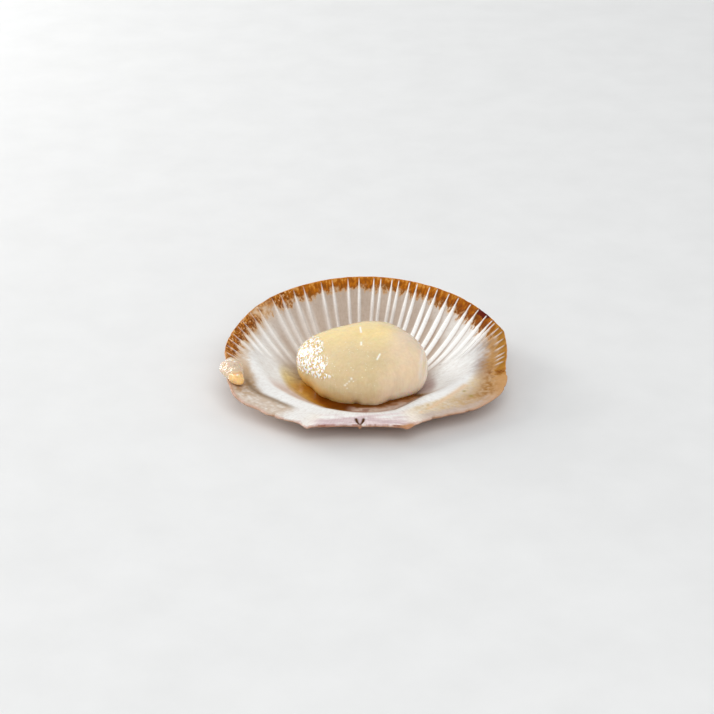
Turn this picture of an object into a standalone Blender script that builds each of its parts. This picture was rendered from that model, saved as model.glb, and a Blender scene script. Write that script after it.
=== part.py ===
"""Raw scallop on its half shell: the valve, the adductor meat, its juice and a scrap of mantle.

Metres, +Z up. The straight hinge of the valve faces -Y and its round margin faces +Y. Each surface
is worked out in the valve's own frame, whose origin is the centre of the round margin and whose
XY plane is the plane of that margin; stand() then tilts it and sets it on its foot.
"""

from math import cos, pi, radians, sin

import bmesh
import bpy
import numpy as np

MM = 0.001
CLEARANCE = 0.35 * MM                # between the valve and what lies in it

# Stance: the far margin is raised, and a small flat foot rests on the ground.
TILT = radians(5.5)
FOOT_CENTRE = (-1.0 * MM, -9.0 * MM)
FOOT_RADIUS = 8.0 * MM
FOOT_CUT = 0.30 * MM                 # how much of the round belly the foot takes off
FOOT_LIFT = 0.02                     # least slope of the belly just outside the foot

# Margin of the valve, in plan.
DISC_RADIUS = 45.0 * MM
DISC_FROM = -12                      # bearings that the round margin spans, in degrees from +X
DISC_TO = 192
RIM_SWELLS = ((92, 22, 0.8 * MM), (14, 9, 0.6 * MM), (158, 16, -0.9 * MM),   # bearing, spread, swell
              (14, 2, 0.5 * MM), (30.2, 1.3, -1.0 * MM))     # and a small bump and a nick
LEFT_SHOULDER = ((-43.5, -16.0), (-42.3, -20.6), (-40.8, -25.4), (-37.6, -29.6), (-33.4, -32.7),
                 (-30.6, -35.6), (-27.2, -37.7), (-23.4, -39.8), (-20.6, -41.0))
HINGE_LINE = ((-18.0, -43.9), (-15.8, -43.2), (-2.0, -43.0), (9.6, -43.4), (12.4, -44.3))
RIGHT_SHOULDER = ((14.4, -42.6), (16.9, -40.6), (19.8, -38.9), (23.9, -37.1), (28.0, -35.2),
                  (32.4, -33.4), (37.0, -29.6), (41.4, -24.7), (43.5, -19.6), (44.2, -15.0))
SHOULDER_DROOP = 0.8 * MM            # how far the margin dips beside the hinge
MARGIN_STEP = 1.9 * MM               # spacing of the mesh along the shoulders and the hinge
REACH_STEPS = 720                    # bearings at which the reach of the margin is tabled
REACH_SMOOTHING = 9.0                # degrees, for the rounder outline further in
EAR_BLEND = 6                        # how close to the margin the ears show

# Inside of the valve. Rows of 16 or 8 are stations round the circle, from +X round by +Y.
BOWL_DEPTH = 8.8 * MM
BOWL_CENTRE = (-0.5 * MM, -3.0 * MM)
SHELF_START = (0.83, 0.90, 0.97, 1.00, 1.00, 1.00, 0.97, 0.90,   # where the wall meets the shelf
               0.80, 0.73, 0.73, 0.74, 0.79, 0.74, 0.68, 0.70)
SHELF_SLOPE = (0.13, 0.15, 0.15, 0.15, 0.13, 0.09, 0.17, 0.09)
WALL_POWER = (2.3, 2.15, 2.0, 1.95, 1.9, 1.95, 2.0, 2.15,
              2.7, 2.4, 2.2, 3.0, 2.9, 2.8, 2.8, 2.5)
SHELF_BLEND = 0.8 * MM               # rounding between wall and shelf
CALLUS_RISE = 0.5 * MM               # smooth ridge along the top of the wall beside the hinge
CALLUS_SPREAD = 0.07
PIT_CENTRE_X = -1.9 * MM             # resilium pit in the middle of the hinge
PIT_LENGTH = 4.4 * MM                # it widens from the hinge line inwards
PIT_HALF_WIDTH = 2.4 * MM
PIT_DEPTH = 0.8 * MM

# Ribs on the inside, in pairs: bearing of the pair's middle and half its spread, in degrees.
RIB_PAIRS = ((-7.2, 1.9), (0.4, 2.7), (10.8, 2.6), (18.5, 1.9), (24.9, 2.3), (35.9, 2.7), (48.5, 2.6),
             (59.1, 1.9), (68.7, 1.8), (76.8, 1.5), (84.7, 1.5), (95.0, 2.4), (106.8, 2.5),
             (120.2, 2.5), (131.9, 2.5), (146.7, 2.8), (159.4, 2.4), (170.1, 2.3), (180.0, 2.6))
RIB_HEIGHT = 0.5 * MM
RIB_WIDTH_AT_RIM = 0.5 * MM
RIB_WIDTH = (1.0, 1.3, 1.7, 1.2, 0.95, 1.1, 1.6, 1.5,            # further in, in millimetres
             1.0, 1.0, 1.0, 1.0, 1.0, 1.0, 1.0, 1.0)
RIB_SHARE_OF_GAP = 0.82              # the most of its gap that a rib takes up as the ribs draw together
RIB_REACH = (0.20, 0.80, 0.80, 0.70, 0.22, 0.10, 0.10, 0.10)     # share of the way in, by bearing
RIB_FOCUS = (-2.0 * MM, -43.8 * MM)  # just behind the umbo, from which the ribs fan out
RIB_CURL = 0.80                      # how long a rib keeps to the fan on the far side
SIDE_CURL = 0.50                     # and at the sides of the valve

# Outside of the valve.
EDGE_THICKNESS = 0.9 * MM
EDGE_ROUND = 0.3 * MM
WALL_THICKNESS = 1.1 * MM
BELLY_THICKNESS = 1.7 * MM
BELLY_CENTRE = (-1.0 * MM, 0.5 * MM)
BELLY_POWER = 2.0

# Rows of the valve's mesh, as shares of the way in from the margin.
INSIDE_ROWS = (0.012, 0.04, 0.09, 0.16, 0.25, 0.36, 0.48, 0.60)
FLOOR_ROWS = (0.72, 0.86, 1.0)
OUTSIDE_ROWS = (0.05, 0.13, 0.25, 0.40, 0.58, 0.78)
FLOOR_CENTRE = (-1.5 * MM, -15.0 * MM)
FLOOR_RADIUS = 2.5 * MM

# Meat: a thick round pad, in plan a wavy oval.
MEAT_CENTRE = (-0.6 * MM, -8.6 * MM, -0.3 * MM)
MEAT_RADIUS = (19.8 * MM, 16.7 * MM)
MEAT_RISE = 10.0 * MM                # above its widest level, and below it
MEAT_DROP = 8.5 * MM
MEAT_PLAN_POWER = 2.1                # 2 is an ellipse, more is squarer
MEAT_SIDE_POWER = 2.85
MEAT_WAVES = ((2, -37.0, 0.032), (3, -50.6, 0.043), (4, -14.6, 0.036))   # lobes, bearing, size
MEAT_BULGE = (0.150, (200, 236), (276, 312))       # fuller near side: size, bearings it fades in and out
MEAT_TOP_SLOPE = (0.08, -0.05)       # the top leans up to the right and down to the far side
MEAT_COLUMNS = 44
MEAT_ROWS = 16

# Juice: a shallow level crescent between the meat and the valve.
JUICE_LEVEL = 4.5 * MM               # above the ground
JUICE_FROM = 172                     # bearings round the meat, in degrees
JUICE_TO = 318
JUICE_EDGE = 0.4 * MM                # thickness at its outer edge
JUICE_LEAST_WIDTH = 0.8 * MM
JUICE_COLUMNS = 44
JUICE_ROWS = 5
JUICE_SEARCH = 0.05 * MM             # step of the search for its inner and outer edges

# Scrap of mantle on the left rim.
SCRAP_CENTRE = (-41.4 * MM, -15.3 * MM, 1.3 * MM)
SCRAP_RADIUS = (3.4 * MM, 6.6 * MM, 2.6 * MM)
SCRAP_LEAN = -0.22                     # its far end lies more to the left
SCRAP_WAVES = ((3, 170, 0.12), (5, 20, 0.04))   # lobes, bearing, size
SCRAP_COLUMNS = 22
SCRAP_ROWS = 11


def clear_scene():
    for old in list(bpy.data.objects):
        bpy.data.objects.remove(old, do_unlink=True)


def smooth_step(low, high, value):
    share = np.clip((value - low) / (high - low), 0.0, 1.0)
    return share * share * (3.0 - 2.0 * share)


def smooth_min(first, second, blend):
    share = np.clip(0.5 + 0.5 * (second - first) / blend, 0.0, 1.0)
    return second + (first - second) * share - blend * share * (1.0 - share)


def around(stations, bearing):
    """Value at a bearing in radians, from stations evenly spaced round the circle."""
    values = np.asarray(stations, float)
    place = np.asarray(bearing) / (2 * pi) * len(values)
    left = np.floor(place).astype(int)
    share = place - left
    before, here, there, after = (values[(left + step) % len(values)] for step in (-1, 0, 1, 2))
    return here + 0.5 * share * (there - before + share * (
        2 * before - 5 * here + 4 * there - after + share * (3 * (here - there) + after - before)))


def curve_through(points, step):
    """Smooth curve through the points, sampled about every step, without its last point."""
    points = np.asarray(points, float)
    path = []
    for index in range(1, len(points) - 2):
        before, start, end, after = points[index - 1:index + 3]
        count = max(1, int(round(np.linalg.norm(end - start) / step)))
        for share in np.arange(count) / count:
            path.append(start + 0.5 * share * (end - before + share * (
                2 * before - 5 * start + 4 * end - after + share * (
                    3 * (start - end) + after - before))))
    return np.array(path)


def disc_point(bearing):
    """Point of the round margin at a bearing in degrees."""
    radius = DISC_RADIUS + sum(
        swell * np.exp(-((bearing - middle) / spread) ** 2) for middle, spread, swell in RIM_SWELLS)
    angle = np.radians(bearing)
    return np.stack([radius * np.cos(angle), radius * np.sin(angle)], axis=-1)


def hinge_side(step):
    """Margin from the end of the round part over the left shoulder, hinge and right shoulder."""
    plan = [np.array(point) * MM for point in LEFT_SHOULDER + HINGE_LINE + RIGHT_SHOULDER]
    points = [disc_point(DISC_TO - 8), disc_point(DISC_TO)] + plan
    points += [disc_point(DISC_FROM), disc_point(DISC_FROM + 8)]
    return curve_through(points, step)


def whole_margin():
    """Fine samples of the whole margin, in plan."""
    return np.vstack([disc_point(np.arange(DISC_FROM, DISC_TO, 1.0)), hinge_side(0.5 * MM)])


def share_of_reach(centre, x, y):
    """Bearing from a centre, the share of the way to the margin, and the distance to the margin.

    The share is 1 on the margin itself, but further in it follows a rounder outline, so that the
    ears don't leave creases across the valve.
    """
    margin = whole_margin() - centre
    at = np.arctan2(margin[:, 1], margin[:, 0])
    order = np.argsort(at)
    steps = np.linspace(-pi, pi, REACH_STEPS, endpoint=False)
    reach = np.interp(steps, at[order], np.hypot(*margin.T)[order], period=2 * pi)
    window = np.exp(-0.5 * (steps / radians(REACH_SMOOTHING)) ** 2)
    spectrum = np.fft.rfft(reach) * np.fft.rfft(np.fft.ifftshift(window / window.sum()))
    round_reach = np.fft.irfft(spectrum, REACH_STEPS)
    bearing = np.arctan2(y - centre[1], x - centre[0])
    distance = np.hypot(x - centre[0], y - centre[1])
    exact, rounded = (np.interp(bearing, steps, table, period=2 * pi) for table in (reach, round_reach))
    near_margin = np.minimum(distance / exact, 1.0) ** EAR_BLEND
    share = distance / (rounded + (exact - rounded) * near_margin)
    return bearing, np.minimum(share, 1.0), exact


def margin_dip(x, y):
    """Height of the margin nearest a place in plan: it dips at both shoulders."""
    bearing = np.degrees(np.arctan2(y, np.abs(x)))
    return -SHOULDER_DROOP * np.exp(-((bearing + 40.0) / 20.0) ** 2)


def bowl_profile(rho, bearing, reach):
    start = around(SHELF_START, bearing)
    slope = around(SHELF_SLOPE, bearing)
    power = around(WALL_POWER, bearing)
    shelf = -slope * (1.0 - rho) * reach
    top = BOWL_DEPTH - slope * (1.0 - start) * reach
    wall = -BOWL_DEPTH + top * (rho / start) ** power
    return smooth_min(wall, shelf, SHELF_BLEND)


def inside_height(x, y):
    """Height of the inside of the valve, without its ribs."""
    bearing, rho, reach = share_of_reach(BOWL_CENTRE, x, y)
    height = bowl_profile(rho, bearing, reach) - bowl_profile(np.ones_like(rho), bearing, reach)
    start = around(SHELF_START, bearing)
    beside_hinge = 1.0 - smooth_step(-0.5, 0.6, np.sin(bearing))
    height += CALLUS_RISE * beside_hinge * np.exp(-((rho - start) / CALLUS_SPREAD) ** 2)
    height += margin_dip(x, y) * rho ** 4
    inward = (y - HINGE_LINE[2][1] * MM) / PIT_LENGTH
    half_width = PIT_HALF_WIDTH * np.clip(inward + 0.15, 0.15, 1.0)
    pit = smooth_step(0.0, 0.6, 1.0 - np.abs(x - PIT_CENTRE_X) / half_width)
    return height - PIT_DEPTH * pit * smooth_step(1.0, 0.7, inward)


def outside_height(x, y):
    """Height of the outside of the valve: a smooth belly, never too near the inside."""
    rho = share_of_reach(BELLY_CENTRE, x, y)[1]
    depth = BOWL_DEPTH + BELLY_THICKNESS - EDGE_THICKNESS
    belly = -depth * (1.0 - rho ** BELLY_POWER) - EDGE_THICKNESS + margin_dip(x, y) * rho ** 4
    return np.minimum(belly, inside_height(x, y) - WALL_THICKNESS * smooth_step(1.0, 0.9, rho)
                      - EDGE_THICKNESS * smooth_step(0.9, 1.0, rho))


def tilt(points):
    """Points of the valve's frame, tilted so that the far margin is raised."""
    x, y, z = np.moveaxis(np.asarray(points, float), -1, 0)
    return np.stack([x, y * cos(TILT) - z * sin(TILT), y * sin(TILT) + z * cos(TILT)], axis=-1)


def scrap_plan(bearing, share):
    """Places in plan round the mantle scrap, at a share of its full reach."""
    waves = sum(size * np.cos(lobes * (bearing - radians(at))) for lobes, at, size in SCRAP_WAVES)
    along = share * SCRAP_RADIUS[1] * (1.0 + waves) * np.sin(bearing)
    across = share * SCRAP_RADIUS[0] * (1.0 + waves) * np.cos(bearing) + SCRAP_LEAN * along
    return SCRAP_CENTRE[0] + across, SCRAP_CENTRE[1] + along


def stance():
    """What stand() adds after the tilt: the box's middle over the origin, the foot on the ground."""
    grid = np.linspace(-DISC_RADIUS / 2, DISC_RADIUS / 2, 181)
    x, y = np.meshgrid(grid, grid)
    lowest = tilt(np.stack([x, y, outside_height(x, y)], axis=-1))[..., 2].min()
    margin = whole_margin()
    scrap = np.column_stack(scrap_plan(np.radians(np.arange(360)), 1.0))
    widest = np.vstack([margin, scrap[np.argmin(scrap[:, 0])]])
    rim = tilt(np.column_stack([widest, margin_dip(widest[:, 0], widest[:, 1])]))
    middle = (rim.min(axis=0) + rim.max(axis=0)) / 2
    return np.array([-middle[0], -middle[1], -lowest - FOOT_CUT])


STANCE = stance()


def stand(points):
    return tilt(points) + STANCE


def level_at(y, height_above_ground):
    """Height in the valve's frame of a level surface."""
    return (height_above_ground - STANCE[2] - y * sin(TILT)) / cos(TILT)


def material(name, colour, roughness):
    made = bpy.data.materials.new(name)
    made.use_nodes = True
    shader = made.node_tree.nodes["Principled BSDF"]
    shader.inputs["Base Color"].default_value = (*colour, 1.0)
    shader.inputs["Roughness"].default_value = roughness
    shader.inputs["Metallic"].default_value = 0.0
    made.diffuse_color = (*colour, 1.0)
    return made


class Skin:
    """Closed skin made of rings of points, each ring with a rising place round the skin."""

    def __init__(self):
        self.points = []
        self.faces = []

    def ring(self, points, places):
        first = len(self.points)
        self.points += [tuple(point) for point in points]
        return list(range(first, len(self.points))), list(places)

    def bridge(self, one, other):
        """Triangles between two rings, which may have different numbers of points."""
        (left, left_at), (right, right_at) = one, other
        at = [0, 0]
        while at[0] < len(left) or at[1] < len(right):
            here = (left[at[0] % len(left)], right[at[1] % len(right)])
            ahead = [float("inf"), float("inf")]
            for side, places in enumerate((left_at, right_at)):
                if at[side] < len(places):
                    ahead[side] = (places + [places[0] + 1.0])[at[side] + 1]
            step = 0 if ahead[0] <= ahead[1] else 1
            at[step] += 1
            ring = (left, right)[step]
            self.faces.append((*here, ring[at[step] % len(ring)]))

    def cap(self, ring, point):
        indices = ring[0]
        self.points.append(tuple(point))
        middle = len(self.points) - 1
        for index, here in enumerate(indices):
            self.faces.append((here, indices[(index + 1) % len(indices)], middle))

    def build(self, name, origin, finish):
        mesh = bpy.data.meshes.new(name)
        mesh.from_pydata((np.array(self.points) - origin).tolist(), [], self.faces)
        work = bmesh.new()
        work.from_mesh(mesh)
        bmesh.ops.recalc_face_normals(work, faces=work.faces)
        work.to_mesh(mesh)
        work.free()
        mesh.polygons.foreach_set("use_smooth", [True] * len(mesh.polygons))
        mesh.materials.append(finish)
        made = bpy.data.objects.new(name, mesh)
        made.location = origin
        bpy.context.scene.collection.objects.link(made)
        return made


def rib_bearings():
    return [middle + side * half for middle, half in RIB_PAIRS for side in (-1, 1)]


def margin_columns():
    """Columns of the valve's mesh: margin point, bearing, rib side and the gap to the nearest rib.

    The rib side is 0 on a rib's crest, -1 or 1 at its feet and None between ribs.
    """
    columns = []
    ribs = rib_bearings()
    ends = [DISC_FROM] + ribs + [DISC_TO]
    for index, bearing in enumerate(ribs):
        gap = DISC_RADIUS * radians(min(bearing - ends[index], ends[index + 2] - bearing))
        for side in (-1, 0, 1):
            columns.append((disc_point(bearing), bearing, side, gap))
        between = (bearing + ends[index + 2]) / 2
        columns.append((disc_point(between), between, None, gap))
    for point in hinge_side(MARGIN_STEP):
        bearing = np.degrees(np.arctan2(point[1], point[0])) % 360
        columns.append((point, bearing, None, MARGIN_STEP))
    return columns


def inward_direction(point, bearing):
    """Towards the umbo on the round margin, turning towards the floor's middle near the hinge."""
    to_umbo, to_floor = np.array(RIB_FOCUS) - point, np.array(FLOOR_CENTRE) - point
    turn = (bearing + 90) % 360 - 90
    fan = smooth_step(-45, 10, turn) * (1.0 - smooth_step(170, 225, turn))
    mixed = fan * to_umbo / np.linalg.norm(to_umbo) + (1.0 - fan) * to_floor / np.linalg.norm(to_floor)
    return mixed / np.linalg.norm(mixed)


def rib_curl(bearing):
    far = smooth_step(0, 45, bearing) * (1.0 - smooth_step(135, 180, bearing))
    return SIDE_CURL + (RIB_CURL - SIDE_CURL) * far


def column_points(column, share):
    """Place in plan and rib height along a column, at shares of the way in."""
    point, bearing, side, gap = column
    share = np.atleast_1d(share)[:, None]
    from_floor = point - FLOOR_CENTRE
    end = np.array(FLOOR_CENTRE) + FLOOR_RADIUS * from_floor / np.linalg.norm(from_floor)
    direction = inward_direction(point, bearing)
    pull = direction * rib_curl(bearing) * np.linalg.norm(end - point)
    near, far = point + pull / 2, point + pull
    rest = 1 - share
    place = rest ** 3 * point + 3 * share * rest * (rest * near + share * far) + share ** 3 * end
    if side is None:
        return place, np.zeros(len(share))
    reach = around(RIB_REACH, radians(bearing))
    shown = smooth_step(0.0, 0.03, share[:, 0]) * (1.0 - smooth_step(0.6 * reach, reach, share[:, 0]))
    heading = rest ** 2 * (near - point) + 2 * share * rest * (far - near) + share ** 2 * (end - far)
    heading /= np.linalg.norm(heading, axis=1)[:, None]
    sideways = np.column_stack([heading[:, 1], -heading[:, 0]])
    along_margin = np.array([-sin(radians(bearing)), cos(radians(bearing))])
    sideways = along_margin + (sideways - along_margin) * smooth_step(0.0, 0.1, share)
    inside_width = around(RIB_WIDTH, radians(bearing)) * MM
    width = RIB_WIDTH_AT_RIM + (inside_width - RIB_WIDTH_AT_RIM) * smooth_step(0.03, 0.22, share)
    width = np.minimum(width, RIB_SHARE_OF_GAP * gap * (1.0 - share))
    return place + sideways * side * width / 2, RIB_HEIGHT * shown * (1 - abs(side))


def make_valve():
    columns = margin_columns()
    margin = np.array([column_points(column, 0.0)[0][0] for column in columns])
    gaps = np.linalg.norm(np.roll(margin, -1, axis=0) - margin, axis=1)
    places = np.concatenate([[0.0], np.cumsum(gaps)[:-1]]) / gaps.sum()
    sparse = [index for index, column in enumerate(columns) if column[2] in (0, None)]
    coarse = sparse[::4]
    skin = Skin()

    def inside_ring(share, chosen):
        plan, ribs = zip(*(column_points(columns[index], share) for index in chosen))
        plan = np.array(plan)[:, 0]
        height = inside_height(plan[:, 0], plan[:, 1]) + np.array(ribs)[:, 0]
        return skin.ring(stand(np.column_stack([plan, height])), places[chosen])

    def edge_ring(inset, drop, chosen):
        plan = margin[chosen]
        inward = np.array([inward_direction(columns[index][0], columns[index][1]) for index in chosen])
        plan = plan + inward * inset
        height = margin_dip(plan[:, 0], plan[:, 1]) - drop
        return skin.ring(stand(np.column_stack([plan, height])), places[chosen])

    def outside_ring(share):
        plan = margin[sparse]
        spokes = plan - FOOT_CENTRE
        foot = np.array(FOOT_CENTRE) + FOOT_RADIUS * spokes / np.linalg.norm(spokes, axis=1)[:, None]
        plan = plan * (1 - share) + foot * share
        solid = stand(np.column_stack([plan, outside_height(plan[:, 0], plan[:, 1])]))
        beyond = np.linalg.norm(plan - FOOT_CENTRE, axis=1) - FOOT_RADIUS
        solid[:, 2] = np.maximum(solid[:, 2], FOOT_LIFT * beyond)
        if share == 1.0:
            solid[:, 2] = 0.0
        return skin.ring(solid, places[sparse])

    everything = list(range(len(columns)))
    rings = [inside_ring(share, coarse) for share in reversed(FLOOR_ROWS)]
    rings += [inside_ring(share, everything) for share in reversed(INSIDE_ROWS)]
    rings += [edge_ring(0.0, EDGE_ROUND, everything), edge_ring(EDGE_ROUND, EDGE_THICKNESS, sparse)]
    rings += [outside_ring(share) for share in OUTSIDE_ROWS + (1.0,)]
    floor = inside_height(*np.array(FLOOR_CENTRE)[:, None])[0]
    skin.cap(rings[0], stand([*FLOOR_CENTRE, floor]))
    for one, other in zip(rings, rings[1:]):
        skin.bridge(one, other)
    below = stand([*FOOT_CENTRE, 0.0])
    skin.cap(rings[-1], (below[0], np.mean([skin.points[index][1] for index in rings[-1][0]]), 0.0))
    return skin.build("shell", stand([0.0, 0.0, 0.0]), material("shell", (0.80, 0.71, 0.66), 0.35))


def meat_reach(bearing):
    """Distance from the meat's middle to its side, in plan."""
    across = np.abs(np.cos(bearing) / MEAT_RADIUS[0]) ** MEAT_PLAN_POWER
    along = np.abs(np.sin(bearing) / MEAT_RADIUS[1]) ** MEAT_PLAN_POWER
    waves = sum(size * np.cos(lobes * (bearing - radians(at))) for lobes, at, size in MEAT_WAVES)
    size, fade_in, fade_out = MEAT_BULGE
    turn = np.degrees(bearing) % 360
    bulge = size * smooth_step(*fade_in, turn) * (1.0 - smooth_step(*fade_out, turn))
    return (across + along) ** (-1.0 / MEAT_PLAN_POWER) * (1.0 + waves + bulge)


def meat_side(height):
    """Share of the full reach at a height below the meat's widest level."""
    share = np.clip(-height / MEAT_DROP, 0.0, 1.0)
    return (1.0 - share ** MEAT_SIDE_POWER) ** (1.0 / MEAT_SIDE_POWER)


def make_meat():
    skin = Skin()
    places = np.arange(MEAT_COLUMNS) / MEAT_COLUMNS
    bearing = 2 * pi * places
    reach = meat_reach(bearing)
    rings = []
    for angle in np.linspace(-pi / 2, pi / 2, MEAT_ROWS + 2)[1:-1]:
        rise = np.sign(sin(angle)) * abs(sin(angle)) ** (2 / MEAT_SIDE_POWER)
        out = reach * cos(angle) ** (2 / MEAT_SIDE_POWER)
        across = out * np.cos(bearing)
        along = out * np.sin(bearing)
        lean = (MEAT_TOP_SLOPE[0] * across + MEAT_TOP_SLOPE[1] * along) * max(rise, 0.0)
        x = MEAT_CENTRE[0] + across
        y = MEAT_CENTRE[1] + along
        z = MEAT_CENTRE[2] + rise * (MEAT_RISE if rise > 0.0 else MEAT_DROP) + lean
        z = np.maximum(z, inside_height(x, y) + CLEARANCE)
        rings.append(skin.ring(stand(np.column_stack([x, y, z])), places))
    for one, other in zip(rings, rings[1:]):
        skin.bridge(one, other)
    floor = inside_height(*np.array(MEAT_CENTRE[:2])[:, None])[0] + CLEARANCE
    skin.cap(rings[0], stand([*MEAT_CENTRE[:2], max(MEAT_CENTRE[2] - MEAT_DROP, floor)]))
    skin.cap(rings[-1], stand([*MEAT_CENTRE[:2], MEAT_CENTRE[2] + MEAT_RISE]))
    return skin.build("meat", stand(MEAT_CENTRE), material("meat", (0.86, 0.72, 0.52), 0.35))


def juice_edges(bearing):
    """Inner and outer distance of the juice from the meat's middle, at one bearing."""
    out = np.arange(0.0, DISC_RADIUS, JUICE_SEARCH)
    x = MEAT_CENTRE[0] + out * cos(bearing)
    y = MEAT_CENTRE[1] + out * sin(bearing)
    level = level_at(y, JUICE_LEVEL)
    clear = out > meat_reach(bearing) * meat_side(level - MEAT_CENTRE[2]) + CLEARANCE
    deep = level - inside_height(x, y) - CLEARANCE > JUICE_EDGE
    inner = out[np.argmax(clear)]
    outer = out[np.argmax(clear & ~deep)]
    return inner, max(outer, inner + JUICE_LEAST_WIDTH)


def make_juice():
    skin = Skin()
    loops = []
    places = np.arange(2 * JUICE_ROWS) / (2 * JUICE_ROWS)
    for bearing in np.radians(np.linspace(JUICE_FROM, JUICE_TO, JUICE_COLUMNS)):
        out = np.linspace(*juice_edges(bearing), JUICE_ROWS)
        x = MEAT_CENTRE[0] + out * cos(bearing)
        y = MEAT_CENTRE[1] + out * sin(bearing)
        top = level_at(y, JUICE_LEVEL)
        bottom = np.minimum(inside_height(x, y) + CLEARANCE, top - JUICE_EDGE)
        loop = np.column_stack([np.r_[x, x[::-1]], np.r_[y, y[::-1]], np.r_[top, bottom[::-1]]])
        loops.append(skin.ring(stand(loop), places))
    for one, other in zip(loops, loops[1:]):
        skin.bridge(one, other)
    for indices, _ in (loops[0], loops[-1]):
        upper, lower = indices[:JUICE_ROWS], indices[JUICE_ROWS:][::-1]
        for step in range(JUICE_ROWS - 1):
            skin.faces.append((upper[step], upper[step + 1], lower[step + 1], lower[step]))
    origin = stand([*MEAT_CENTRE[:2], level_at(MEAT_CENTRE[1], JUICE_LEVEL)])
    return skin.build("juice", origin, material("juice", (0.36, 0.17, 0.04), 0.08))


def make_scrap():
    skin = Skin()
    places = np.arange(SCRAP_COLUMNS) / SCRAP_COLUMNS
    bearing = 2 * pi * places
    rings = []
    for angle in np.linspace(-pi / 2, pi / 2, SCRAP_ROWS + 2)[1:-1]:
        x, y = scrap_plan(bearing, cos(angle))
        z = SCRAP_CENTRE[2] + SCRAP_RADIUS[2] * sin(angle)
        z = np.maximum(z, inside_height(x, y) + CLEARANCE)
        rings.append(skin.ring(stand(np.column_stack([x, y, z])), places))
    for one, other in zip(rings, rings[1:]):
        skin.bridge(one, other)
    floor = inside_height(*np.array(SCRAP_CENTRE[:2])[:, None])[0] + CLEARANCE
    skin.cap(rings[0], stand([*SCRAP_CENTRE[:2], max(SCRAP_CENTRE[2] - SCRAP_RADIUS[2], floor)]))
    skin.cap(rings[-1], stand([*SCRAP_CENTRE[:2], SCRAP_CENTRE[2] + SCRAP_RADIUS[2]]))
    return skin.build("mantle_scrap", stand(SCRAP_CENTRE), material("mantle", (0.72, 0.50, 0.33), 0.3))


clear_scene()
make_valve()
make_meat()
make_juice()
make_scrap()
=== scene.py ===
"""Looks of the raw scallop on its half shell: valve, adductor meat, juice and a scrap of mantle."""

from math import cos, pi, radians, sin

import bpy
import numpy as np
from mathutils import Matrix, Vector


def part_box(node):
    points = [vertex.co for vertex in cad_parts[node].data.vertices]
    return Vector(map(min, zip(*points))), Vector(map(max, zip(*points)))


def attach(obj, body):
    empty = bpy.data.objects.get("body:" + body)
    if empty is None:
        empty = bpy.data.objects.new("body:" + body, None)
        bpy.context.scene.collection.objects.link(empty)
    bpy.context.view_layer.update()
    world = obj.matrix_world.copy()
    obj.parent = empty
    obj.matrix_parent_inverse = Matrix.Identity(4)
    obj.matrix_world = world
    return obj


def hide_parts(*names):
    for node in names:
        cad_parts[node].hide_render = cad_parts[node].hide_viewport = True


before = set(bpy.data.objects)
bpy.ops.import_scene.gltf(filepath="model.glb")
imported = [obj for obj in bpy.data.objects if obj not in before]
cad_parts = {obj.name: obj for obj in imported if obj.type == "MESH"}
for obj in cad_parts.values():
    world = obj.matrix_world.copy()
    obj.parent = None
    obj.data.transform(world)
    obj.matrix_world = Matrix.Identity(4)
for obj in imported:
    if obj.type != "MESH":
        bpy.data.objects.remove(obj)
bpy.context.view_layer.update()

MM = 0.001
TOUCH = 0.05 * MM                    # gap between the valve and what lies in it
SPOT_LENGTH = 0.1                    # of the short line that stands for a round spot, in millimetres

# Stance of the valve, as in the CAD model.
TILT = radians(5.5)
FOOT_CENTRE = np.array([-1.0, -9.0]) * MM
FOOT_RADIUS = 8.0 * MM
FOOT_CUT = 0.30 * MM
FOOT_LIFT = 0.02

# Margin of the valve, in plan.
DISC_RADIUS = 45.0 * MM
DISC_FROM = -12                      # bearings that the round margin spans, in degrees from +X
DISC_TO = 192
RIM_SWELLS = ((92, 22, 0.8 * MM), (14, 9, 0.6 * MM), (158, 16, -0.9 * MM),   # bearing, spread, swell
              (14, 2, 0.5 * MM), (30.2, 1.3, -1.0 * MM))
LEFT_SHOULDER = ((-43.5, -16.0), (-42.3, -20.6), (-40.8, -25.4), (-37.6, -29.6), (-33.4, -32.7),
                 (-30.6, -35.6), (-27.2, -37.7), (-23.4, -39.8), (-20.6, -41.0))
HINGE_LINE = ((-18.0, -43.9), (-15.8, -43.2), (-2.0, -43.0), (9.6, -43.4), (12.4, -44.3))
RIGHT_SHOULDER = ((14.4, -42.6), (16.9, -40.6), (19.8, -38.9), (23.9, -37.1), (28.0, -35.2),
                  (32.4, -33.4), (37.0, -29.6), (41.4, -24.7), (43.5, -19.6), (44.2, -15.0))
SHOULDER_DROOP = 0.8 * MM            # most at this bearing, to the left and the right of the hinge
DROOP_BEARING = -40.0
DROOP_SPREAD = 20.0
REACH_STEPS = 720
REACH_SMOOTHING = 9.0
EAR_BLEND = 6

# Inside of the valve. Rows of 16 or 8 are stations round the circle, from +X round by +Y.
BOWL_DEPTH = 8.8 * MM
BOWL_CENTRE = np.array([-0.5, -3.0]) * MM
SHELF_START = (0.83, 0.90, 0.97, 1.00, 1.00, 1.00, 0.97, 0.90,
               0.80, 0.73, 0.73, 0.74, 0.79, 0.74, 0.68, 0.70)
SHELF_SLOPE = (0.13, 0.15, 0.15, 0.15, 0.13, 0.09, 0.17, 0.09)
WALL_POWER = (2.3, 2.15, 2.0, 1.95, 1.9, 1.95, 2.0, 2.15,
              2.7, 2.4, 2.2, 3.0, 2.9, 2.8, 2.8, 2.5)
SHELF_BLEND = 0.8 * MM
CALLUS_RISE = 0.5 * MM
CALLUS_SPREAD = 0.07
PIT_CENTRE_X = -1.9 * MM
PIT_LENGTH = 4.4 * MM
PIT_HALF_WIDTH = 2.4 * MM
PIT_DEPTH = 0.8 * MM

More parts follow.
